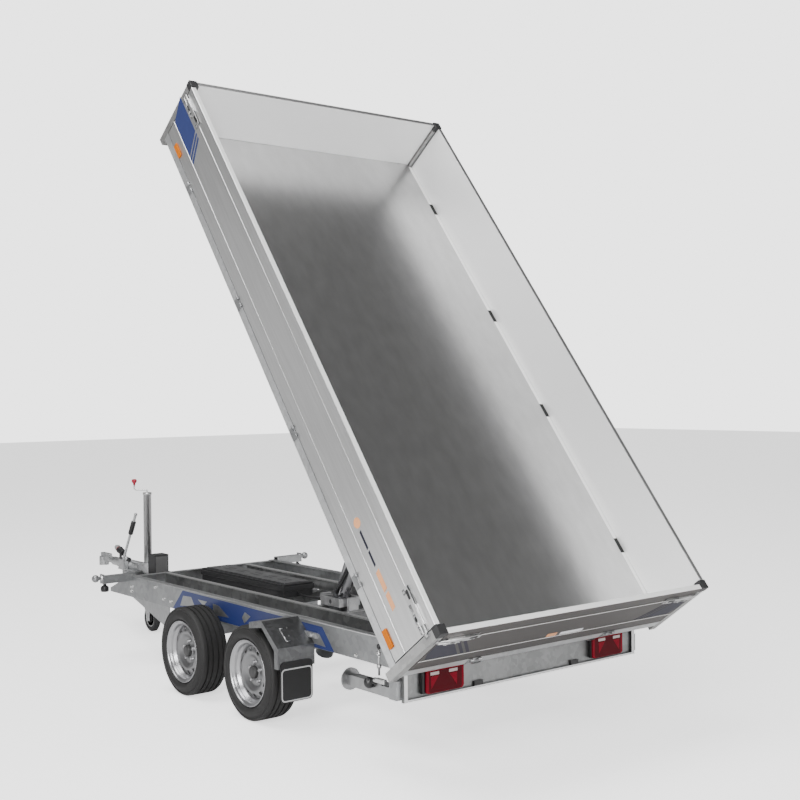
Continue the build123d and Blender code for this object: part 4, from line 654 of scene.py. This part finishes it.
LAMP_FACE, LAMP_BACK = 19.6, 55.2
LENS_START, LENS_END, LENS_FOOT, LENS_HEAD, LENS_CORNER = 449.5, 683.0, 390.5, 515.5, 16
WINDOW_WIDTH = 52
quarter = np.linspace(0, pi / 2, 6)
corner = list(zip(LENS_CORNER * (1 - np.cos(quarter)), LENS_CORNER * (1 - np.sin(quarter))))
lens = [(LENS_START + inward, LENS_FOOT + rise) for inward, rise in corner]
lens += [(LENS_END - inward, LENS_FOOT + rise) for inward, rise in corner[::-1]]
lens += [(LENS_END, LENS_HEAD), (LENS_START, LENS_HEAD)]
middle = np.mean(lens, axis=0)
recess = (np.array(lens) - middle) * (0.87, 0.80) + middle - (0, 2)
base_outline = [(450, 391), (697, 391), (697, 515), (450, 515)]
bases, lenses, beds, windows, triangles = [], [], [], [], []
for side in (1, -1):
    bases.append(on_lamp(side, base_outline, LAMP_FACE + 12, LAMP_BACK))
    lenses.append(on_lamp(side, lens, LAMP_FACE + 1.2, LAMP_FACE + 12.4))
    beds.append(on_lamp(side, recess, LAMP_FACE + 0.8, LAMP_FACE + 1.6))
    for start, lean in ((492, -1), (606, 1)):
        end, tip = start + WINDOW_WIDTH, start + WINDOW_WIDTH / 2 + 22 * lean
        window = [(start, 476), (end, 476), (end, 490), (start, 490)]
        windows.append(on_lamp(side, window, LAMP_FACE, LAMP_FACE + 1.4))
        triangle = [(start + 2, 470), (end - 2, 470), (tip, 412)]
        triangles.append(on_lamp(side, triangle, LAMP_FACE + 0.3, LAMP_FACE + 1.4))
base = skin("lamp_bases", bases, lamp_black, "chassis", smooth=False)
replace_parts(soften(base, 0.006, 3), "tail_lamps")
soften(skin("lamp_lenses", lenses, lens_bright, "chassis", smooth=False), 0.003, 3)
skin("lamp_beds", beds, lens_red, "chassis", smooth=False)
skin("lamp_windows", windows, lens_clear, "chassis", smooth=False)
skin("lamp_triangles", triangles, lens_bright, "chassis", smooth=False)
dress(lamp_black, "plate_lamps")


# Pump box. A black moulded cover over the pump and its battery, with a shoulder below its lid and a
# grey sheet lid that has a few pressed slots, drawn as thin black strips: painted shade. A thin black hose
# leads back from it.
pump_black = new_material("pump_black", (0.016, 0.016, 0.017), 0.0, 0.48)
dress(pump_black, "pump_box")
lid_grey = zinc("lid_grey", (0.10, 0.10, 0.105), (0.24, 0.24, 0.245), 30.0, 0.42)
dress(lid_grey, "pump_lid")
cover = [box_grid(2130.3, 3179.7, -154.7, 84.7, 540, 574), box_grid(2140, 3170, -147, 77, 499, 541)]
cover.append(box_grid(2138, 3172, -149, 79, 573, 584.3))
cover_piece = skin("pump_cover", cover, pump_black, "chassis", smooth=False)
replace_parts(soften(cover_piece, 0.006, 3), "pump_box")
LID_SLOT_LOW, LID_SLOT_HIGH = 591.2, 591.8
# Thin black strips on the lid: painted shade for its pressed slots.
lid_slot_shades = []
for start in (2250.0, 2420.0, 2590.0, 2760.0, 2930.0):
    for y in (-60, -20):
        lid_slot_shades.append(box_grid(start, start + 90, y, y + 12, LID_SLOT_LOW, LID_SLOT_HIGH))
skin("lid_slot_shades", lid_slot_shades, grip_black, "chassis", smooth=False)


def bent(points, steps=12):
    """A smooth line through the points: between two of them a cubic in the share t, whose tangent at
    each point is half the step between that point's neighbours."""
    points = np.asarray(points, float)
    padded = np.vstack([2 * points[0] - points[1], points, 2 * points[-1] - points[-2]])
    t = np.linspace(0, 1, steps, endpoint=False)[:, None]
    pieces = []
    for p0, p1, p2, p3 in zip(padded, padded[1:], padded[2:], padded[3:]):
        pieces.append(0.5 * (
            2 * p1 + (p2 - p0) * t + (2 * p0 - 5 * p1 + 4 * p2 - p3) * t ** 2
            + (3 * p1 - p0 - 3 * p2 + p3) * t ** 3
        ))
    return np.vstack(pieces + [points[-1:]])


hose = bent([(2135, -30, 520), (2060, -34, 512), (1960, -60, 508), (1860, -62, 512), (1800, -50, 520)])
skin("oil_hose", [carried(circle(8.0, 12), hose)], grip_black, "chassis")


# Tipping cylinder. A grey painted barrel hangs in a cradle of thick plate, and four ground and
# chromed steel tubes slide out of each other.
chrome = new_material("chrome", (0.33, 0.33, 0.34), 1.0, 0.14)
dress(chrome, "cylinder_stage_1", "cylinder_stage_2", "cylinder_stage_3", "cylinder_stage_4")
barrel_grey = new_material("barrel_grey", (0.09, 0.093, 0.097), 0.6, 0.4)
dress(barrel_grey, "cylinder_barrel")
cradle_metal = zinc("cradle_metal", (0.50, 0.50, 0.51), (0.70, 0.70, 0.71), 40.0, 0.30)
dress(cradle_metal, "cylinder_cradle")


# Bed frame. Box rails run round the edge, open channels cross between them under the floor, and two
# long channels below those carry the front cup and the cylinder's cup. It is welded and dipped in zinc.
rail_zinc = zinc("rail_zinc", (0.55, 0.555, 0.56), (0.72, 0.725, 0.73), 40.0, 0.36)
dress(rail_zinc, "bed_rails")
dress(frame_zinc, "bed_bearers", "bed_beams", "ball_cups", "lift_cup", "side_hinges", "tail_hinges")


# Bed boards. Hollow boards of pale aluminium, pushed out in one length with two ridges along the
# outside and a folded lip along the top, and cut to fit between the corner posts. The sides and
# the tail swing down on hinges along their lower edges, and the headboard is bolted in.
TIP_ANGLE = radians(52.9)
# The rear balls' middle, along and above: in the lowered bed's own measures and in the chassis's
BALLS_IN_BED = (116.5, -6.0)
BALLS_IN_CHASSIS = (75.0, BALL_HEIGHT)


def bed_place(points):
    """Points of the lowered bed (along it from its rear, across, above the posts' feet) as metres of
    the frame: moved to the rear balls, turned up by the tipping angle, and moved back."""
    points = np.asarray(points, float)
    ahead, rise = points[..., 0] - BALLS_IN_BED[0], points[..., 2] - BALLS_IN_BED[1]
    x = BALLS_IN_CHASSIS[0] + ahead * cos(TIP_ANGLE) - rise * sin(TIP_ANGLE)
    z = BALLS_IN_CHASSIS[1] + ahead * sin(TIP_ANGLE) + rise * cos(TIP_ANGLE)
    return chassis_place(np.stack([x, points[..., 1], z], axis=-1))


def bed_skin(name, grids, material, body):
    """One flat-shaded piece of the bed, its grids given in the lowered bed's own measures."""
    return skin(name, grids, material, body, place=bed_place, smooth=False)


BOARD_FOOT, BOARD_HEAD = 97.0, 445.0


def board_profile(thickness, ridge):
    """The board's section as (depth behind the outer face, height): a lip at the top on the outer
    side, and two thin ridges, each a small step outwards."""
    outside = [(0, BOARD_FOOT)]
    for height in (182.0, 366.0):
        outside += [(0, height - 5), (-ridge, height - 3), (-ridge, height + 3), (0, height + 5)]
    outside += [(0, BOARD_HEAD - 22), (-ridge, BOARD_HEAD - 20), (-ridge, BOARD_HEAD - 3), (0, BOARD_HEAD)]
    inside = [(thickness, BOARD_HEAD), (thickness, BOARD_FOOT)]
    return np.array(outside + inside, float)


def brushed(name, colour, roughness, wear, stretch):
    """Rolled metal of the bed: fine streaks that move the colour a little and the roughness by the
    wear. They are a noise drawn out by the stretch, in axes turned up with the bed."""
    material = new_material(name, colour, 1.0, roughness)
    shader = material.node_tree.nodes["Principled BSDF"]
    where = add_node(material, "ShaderNodeTexCoord")
    turn = add_node(material, "ShaderNodeMapping", Rotation=(0.0, TIP_ANGLE, 0.0))
    draw = add_node(material, "ShaderNodeMapping", Scale=stretch)
    streaks = add_node(material, "ShaderNodeTexNoise", Scale=6.0, Detail=6.0)
    darker, lighter = (tuple(part * share for part in colour) for share in (0.93, 1.05))
    greys = ramp(material, (0.3, darker), (0.7, lighter))
    join(material, where, "Object", turn, "Vector")
    join(material, turn, "Vector", draw, "Vector")
    join(material, draw, "Vector", streaks, "Vector")
    join(material, streaks, "Fac", greys, "Fac")
    join(material, greys, "Color", shader, "Base Color")
    move_roughness(material, streaks, roughness - wear, roughness + wear)
    return material


board_metal = brushed("board_metal", (0.70, 0.70, 0.70), 0.35, 0.05, (0.6, 12.0, 12.0))
# The tail is a dark brownish grey, not the pale aluminium of the other boards: painted shade for its outer
# face, turned down in the shadow of the tipped bed.
tail_shade_metal = brushed("tail_shade_metal", (0.115, 0.106, 0.102), 0.42, 0.05, (12.0, 0.6, 12.0))
inner_metal = new_material("inner_metal", (0.90, 0.90, 0.90), 0.45, 0.42)
# A pale, barely metallic grey: painted highlights on the boards' lips and ridges, and the colour of the
# floor's edge strips.
strip_and_highlight_metal = new_material("strip_and_highlight_metal", (0.92, 0.92, 0.91), 0.25, 0.35)
board_section = board_profile(26.0, 2.5)
# Faces of a pushed board, counted as the points of its section are
INNER_FACE, TOP_FACE, RIDGE_FACES = len(board_section) - 2, len(board_section) - 3, [2, 6]


def board_piece(name, start, end, metal, body, node, bright):
    """One board: the section's points pushed from start to end. The face towards the load is bare
    metal, and the faces listed as bright get a pale grey, a painted highlight."""
    board = bed_skin(name, [np.stack([start, end])], metal, body)
    board.data.materials.append(inner_metal)
    board.data.materials.append(strip_and_highlight_metal)
    board.data.polygons[INNER_FACE].material_index = 1
    for face in bright:
        board.data.polygons[face].material_index = 2
    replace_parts(soften(board, 0.0012), node)


BOARD_FACE, TAIL_END, POST, BED_LENGTH = 920.0, 870.0, 50.0, 3500.0
board_depth, board_height = board_section[:, 0], board_section[:, 1]
flat = np.zeros(len(board_section))
# Painted highlights: the left board's top lip and the tail's ridges and top lip; the right board and the
# headboard have none.
for side, hand, bright in ((1, "left", [TOP_FACE]), (-1, "right", [])):
    outline = np.column_stack([flat, side * (BOARD_FACE - board_depth), board_height])
    board_piece(
        f"side_board_{hand}", outline + (POST, 0, 0), outline + (BED_LENGTH - POST, 0, 0),
        board_metal, f"side_{hand}", f"board_{hand}", bright,
    )
outline = np.column_stack([board_depth, flat, board_height])
board_piece(
    "tail_board", outline - (0, TAIL_END, 0), outline + (0, TAIL_END, 0),
    tail_shade_metal, "tail_board", "tailgate", RIDGE_FACES + [TOP_FACE],
)
outline = np.column_stack([BED_LENGTH - board_depth, flat, board_height])
board_piece(
    "head_board", outline - (0, TAIL_END, 0), outline + (0, TAIL_END, 0),
    board_metal, "bed", "headboard", [],
)


# Load floor. One flat sheet of zinc-coated steel, worn to a soft shine, riveted to the bearers.
floor_metal = brushed("floor_metal", (0.50, 0.50, 0.50), 0.29, 0.012, (1.2, 2.4, 1.2))
dress(floor_metal, "bed_floor")

# Along each side a bright strip closes the joint of floor and board. At the four hinges of the side
# board black sheets lie on it, painted shade for the dark slots there.
slot_shade_black = new_material("slot_shade_black", (0.008, 0.008, 0.008), 0.0, 0.7)
SIDE_HINGES, HINGE_HALF = (478.0, 1415.0, 2145.0, 3058.0), 46
EDGE_INNER, EDGE_OUTER, FLOOR_TOP = 868.0, 893.0, 96.3
floor_slot_shades, floor_edges = [], []
for side in (1, -1):
    across = (side * EDGE_INNER, side * EDGE_OUTER)
    floor_edges.append(box_grid(POST, BED_LENGTH - POST, *across, FLOOR_TOP, FLOOR_TOP + 0.5))
    across = (side * (EDGE_INNER - 1.0), side * (EDGE_OUTER + 0.4))
    for hinge in SIDE_HINGES:
        along = (hinge - HINGE_HALF, hinge + HINGE_HALF)
        floor_slot_shades.append(box_grid(*along, *across, FLOOR_TOP + 0.1, FLOOR_TOP + 1.1))
bed_skin("floor_edges", floor_edges, strip_and_highlight_metal, "bed")
bed_skin("floor_slot_shades", floor_slot_shades, slot_shade_black, "bed")


# Corner posts. Square zinc-coated tubes welded to the bed frame, each closed with a black moulded
# cap that slips over its top.
post_metal = zinc("post_metal", (0.34, 0.338, 0.335), (0.50, 0.498, 0.495), 40.0, 0.36)
dress(post_metal, "corner_posts")
cap_black = new_material("cap_black", (0.018, 0.018, 0.019), 0.0, 0.45)
POST_TUBE, CAP_WALL = 44, 3
caps = []
for along in (0.0, BED_LENGTH - POST_TUBE):
    for y in (BOARD_FACE - POST_TUBE, -BOARD_FACE):
        length = (along - CAP_WALL, along + POST_TUBE + CAP_WALL)
        width = (y - CAP_WALL, y + POST_TUBE + CAP_WALL)
        caps.append(box_grid(*length, *width, 411, 451))
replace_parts(soften(bed_skin("caps", caps, cap_black, "bed"), 0.003), "post_caps")


# Reflectors. Amber mouldings with rounded corners, stuck to the foot of each side board.
amber = new_material("amber", (0.52, 0.13, 0.0), 0.0, 0.45, 0.1)
REFLECTORS, REFLECTOR_HALF = (157.0, 3285.0), 47
for side, hand in SIDES:
    across = (side * (BOARD_FACE + 0.3), side * (BOARD_FACE + 8.0))
    mouldings = []
    for middle in REFLECTORS:
        along = (middle - REFLECTOR_HALF, middle + REFLECTOR_HALF)
        mouldings.append(box_grid(*along, *across, 100, 134))
    reflector = bed_skin(f"reflector_{hand}", mouldings, amber, f"side_{hand}")
    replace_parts(soften(reflector, 0.003), f"reflectors_{hand}")


# Stickers on the boards. Thin vinyl without print: a blue slanted panel with two stripes near the
# front of each side and at both ends of the tail, and faded orange and dark marks near the rear of
# each side.
vinyl_white = new_material("vinyl_white", (0.75, 0.75, 0.77), 0.0, 0.4)
vinyl_orange = new_material("vinyl_orange", (0.72, 0.33, 0.15), 0.0, 0.5)
vinyl_navy = new_material("vinyl_navy", (0.006, 0.006, 0.020), 0.0, 0.5)


def slanted(start, end, low, high, lean, depths, across):
    """A slanted panel: it runs from start to end and moves by the lean from its foot to its head. Its
    two faces lie at the two depths. Across says which way the depth runs: 1 for across the bed and 0
    for along it."""
    outline = np.array([(start, low), (end, low), (end + lean, high), (start + lean, high)], float)
    sheets = []
    for depth in depths:
        flat = np.full(4, float(depth))
        columns = (outline[:, 0], flat, outline[:, 1]) if across else (flat, outline[:, 0], outline[:, 1])
        sheets.append(np.column_stack(columns))
    return np.stack(sheets)


DOT_PLACE, DOT_HEIGHT, DOT_RADIUS = 694, 242, 26
dot_ring = circle(DOT_RADIUS, 28)
for side, hand in SIDES:
    depths = (side * (BOARD_FACE + 0.2), side * (BOARD_FACE + 0.9))
    panel = [slanted(3160, 3440, 188, 322, 70, depths, 1)]
    panel += [slanted(start, start + 18, 188, 322, 70, depths, 1) for start in (3128, 3096)]
    bed_skin(f"blue_panel_{hand}", panel, vinyl_blue, f"side_{hand}")
    dot = np.column_stack([DOT_PLACE + dot_ring[:, 0], np.full(28, depths[0]), DOT_HEIGHT + dot_ring[:, 1]])
    orange = [slanted(238, 320, 222, 252, 8, depths, 1)]
    orange.append(slanted(334, 436, 222, 252, 8, depths, 1))
    orange.append(pushed(dot, (0, depths[1] - depths[0], 0)))
    bed_skin(f"orange_strip_{hand}", orange, vinyl_orange, f"side_{hand}")
    dark = [slanted(462, 540, 231, 245, 6, depths, 1)]
    dark.append(slanted(552, 648, 231, 245, 6, depths, 1))
    bed_skin(f"grey_strip_{hand}", dark, vinyl_navy, f"side_{hand}")

TAIL_DEPTHS = (-0.2, -0.9)
TAIL_PANEL = [(644, 190), (836, 190), (862, 250), (862, 336), (764, 336)]
tail_blue = []
for side in (1, -1):
    loop = [(TAIL_DEPTHS[0], side * y, height) for y, height in TAIL_PANEL]
    tail_blue.append(pushed(loop, (TAIL_DEPTHS[1] - TAIL_DEPTHS[0], 0, 0)))
    for start in (606, 570):
        tail_blue.append(slanted(side * start, side * (start + 20), 190, 336, side * 120, TAIL_DEPTHS, 0))
bed_skin("blue_tail_panels", tail_blue, vinyl_navy, "tail_board")
white_strip = [slanted(-180, -20, 186, 214, 8, TAIL_DEPTHS, 0)]
bed_skin("tail_badge_strip", white_strip, vinyl_white, "tail_board")
orange_mark = [slanted(2, 70, 180, 220, 14, TAIL_DEPTHS, 0)]
bed_skin("tail_badge_mark", orange_mark, vinyl_orange, "tail_board")


# Over-centre latches. At each end of a swinging board a long zinc-plated base plate holds a pressed
# steel lever with a black grip. The lever pulls a wire bail over a catch at the corner post.
LATCH_HEIGHT, FLATTEN = 360.0, 0.6


def latch(along, reach, base):
    """One latch as three lists of grids: plated, black and base plates. In it t runs from the post
    along the board, d stands out from the board's face and h is the height over the base."""
    def spot(t, d, h):
        """The base, plus t times along, plus d times reach drawn in to keep the bed's width, plus h."""
        return np.multiply(along, t) + np.multiply(reach, d * FLATTEN) + (0.0, 0.0, h) + base

    def slab(t0, t1, d0, d1, h0, h1):
        """A flat block between two values of t, of d and of h."""
        loop = [spot(t0, d0, h0), spot(t1, d0, h0), spot(t1, d1, h0), spot(t0, d1, h0)]
        return pushed(loop, (0, 0, h1 - h0))

    def round_bar(start, end, radius, sides=12):
        """A round pin between two points given as (t, d, h)."""
        return bar(spot(*start), spot(*end), radius, sides)

    side = np.cross(along, (0, 0, 1))
    strap = [(-11, -1.5), (11, -1.5), (11, 1.5), (-11, 1.5)]
    lever = [spot(*place) for place in (
        (36, 15, 14), (90, 19, 17), (150, 19, 18), (206, 15, 16), (228, 17, 14),
    )]
    bail = [spot(*place) for place in (
        (104, 17, 24), (20, 15, 24), (-2, 11, 21), (-8, 10, 9), (-3, 11, -2), (60, 16, 0),
    )]
    base_grids = [slab(6, 228, 0.4, 3.2, -24, 30), slab(-26, 0, 0.4, 4.5, -8, 28)]
    plated_grids = [
        slab(34, 132, 3.2, 15.0, -20, -17),
        slab(34, 132, 3.2, 15.0, 27, 30),
        slab(150, 200, 3.2, 8.0, -22, 2),
        round_bar((48, 10, -21), (48, 10, 31), 5.5),
        round_bar((104, 11, -21), (104, 11, 31), 5.0),
        round_bar((214, 3, -14), (214, 8, -14), 6.0),
        round_bar((18, 3, -14), (18, 8, -14), 6.0),
        carried(strap, lever, side),
        carried(circle(4.0, 10), bail, reach),
        round_bar((-14, 4, 10), (-14, 12, 10), 7.0),
    ]
    black_grids = [slab(164, 210, 17.5, 22.0, 8, 24), slab(66, 88, 3.3, 12.0, -14, -6)]
    return plated_grids, black_grids, base_grids


def fit_latches(name, body, places):
    """Latches at several places of one board, each place given as the latch's own three vectors:
    a plated piece, a black one and the base plates."""
    moving, black, plates = [], [], []
    for place in places:
        plated_grids, black_grids, base_grids = latch(*place)
        moving += plated_grids
        black += black_grids
        plates += base_grids
    soften(bed_skin(name, moving, plated, body), 0.0008, 1)
    # The base plates take the darker zinc as painted shade, so the plated lever stands out from them.
    bed_skin(name + "_plates", plates, shade_zinc, body)
    soften(bed_skin(name + "_grips", black, grip_black, body), 0.002)


for side, hand in SIDES:
    fit_latches(f"side_latches_{hand}", f"side_{hand}", [
        ((1, 0, 0), (0, side, 0), (POST, side * BOARD_FACE, LATCH_HEIGHT)),
        ((-1, 0, 0), (0, side, 0), (BED_LENGTH - POST, side * BOARD_FACE, LATCH_HEIGHT)),
    ])
fit_latches("tail_latches", "tail_board", [
    ((0, -side, 0), (-1, 0, 0), (0.0, side * TAIL_END, LATCH_HEIGHT)) for side in (1, -1)
])


# Studio. A pale floor, a bright even sky and large soft lamps. The floor glows for the camera alone,
# so it looks white without lighting the trailer from below.
stage_white = new_material("stage_white", (0.94, 0.94, 0.94), 0.0, 0.95)
floor_shader = stage_white.node_tree.nodes["Principled BSDF"]
floor_shader.inputs["Emission Color"].default_value = (1.3, 1.3, 1.3, 1.0)
floor_seen = add_node(stage_white, "ShaderNodeLightPath")
join(stage_white, floor_seen, "Is Camera Ray", floor_shader, "Emission Strength")
FLOOR_HALF = 40
floor_corners = [(x * FLOOR_HALF, y * FLOOR_HALF, 0) for x, y in ((-1, -1), (1, -1), (1, 1), (-1, 1))]
ground = bpy.data.meshes.new("ground")
ground.from_pydata(floor_corners, [], [(0, 1, 2, 3)])
ground.materials.append(stage_white)
ground_piece = bpy.data.objects.new("ground", ground)
bpy.context.scene.collection.objects.link(ground_piece)

# The sky that the metal reflects grows dark a little above the horizon, as a studio's walls do, and
# bright again overhead. The camera itself sees an even white.
sky = bpy.data.worlds.new("studio")
sky.use_nodes = True
toward = add_node(sky, "ShaderNodeTexCoord")
parts = add_node(sky, "ShaderNodeSeparateXYZ")
heights = ramp(
    sky, (0.0, 0.55), (0.50, 0.62), (0.56, 0.42), (0.62, 0.13),
    (0.74, 0.11), (0.93, 0.11), (0.97, 0.5), (1.0, 0.9),
)
lift = add_node(sky, "ShaderNodeMapRange")
lift.inputs["From Min"].default_value = -1.0
seen = add_node(sky, "ShaderNodeLightPath")
choice = add_node(sky, "ShaderNodeMix", data_type="RGBA")
choice.inputs[7].default_value = (2.0, 2.0, 2.0, 1.0)
backdrop = sky.node_tree.nodes["Background"]
backdrop.inputs["Strength"].default_value = 1.5
join(sky, toward, "Generated", parts, "Vector")
join(sky, parts, "Z", lift, "Value")
join(sky, lift, "Result", heights, "Fac")
join(sky, seen, "Is Camera Ray", choice, 0)
join(sky, heights, "Color", choice, 6)
join(sky, choice, 2, backdrop, "Color")
bpy.context.scene.world = sky


def soft_lamp(name, place, target, size, power):
    """A square area lamp at one point, turned to face another."""
    lamp = bpy.data.lights.new(name, "AREA")
    lamp.size = size
    lamp.energy = power
    holder = bpy.data.objects.new(name, lamp)
    holder.location = place
    holder.rotation_mode = "QUATERNION"
    holder.rotation_quaternion = (Vector(target) - Vector(place)).to_track_quat("-Z", "Y")
    bpy.context.scene.collection.objects.link(holder)


soft_lamp("key", (-6.5, 6.5, 4.8), (0, 0, 1.0), 4.0, 780.0)
soft_lamp("top", (0.5, 3.0, 9.0), (0, 0, 0), 6.0, 650.0)
soft_lamp("low", (-9.0, -3.0, 2.5), (0, 0, 0.8), 4.0, 350.0)

# Camera, where it stood for the photograph: behind the trailer and to its left, just below the
# middle of the raised bed, looking forward and to the right.
CAMERA_PLACE = (-6.5486, 4.2539, 1.7870)
yaw, pitch, roll = radians(38.79), radians(-0.33), radians(-0.61)
look = np.array([cos(yaw) * cos(pitch), -sin(yaw) * cos(pitch), sin(pitch)])
level = np.array([-sin(yaw), -cos(yaw), 0.0])
upright = np.cross(level, look)
level_across = level * cos(roll) + upright * sin(roll)
above = upright * cos(roll) - level * sin(roll)
camera = bpy.data.cameras.new("camera")
camera.lens = 54.27
camera.sensor_width = 36.0
camera.clip_end = 100.0
camera_piece = bpy.data.objects.new("camera", camera)
aim = Matrix(np.stack([level_across, above, -look], axis=1).tolist()).to_4x4()
camera_piece.matrix_world = Matrix.Translation(CAMERA_PLACE) @ aim
bpy.context.scene.collection.objects.link(camera_piece)
bpy.context.scene.camera = camera_piece
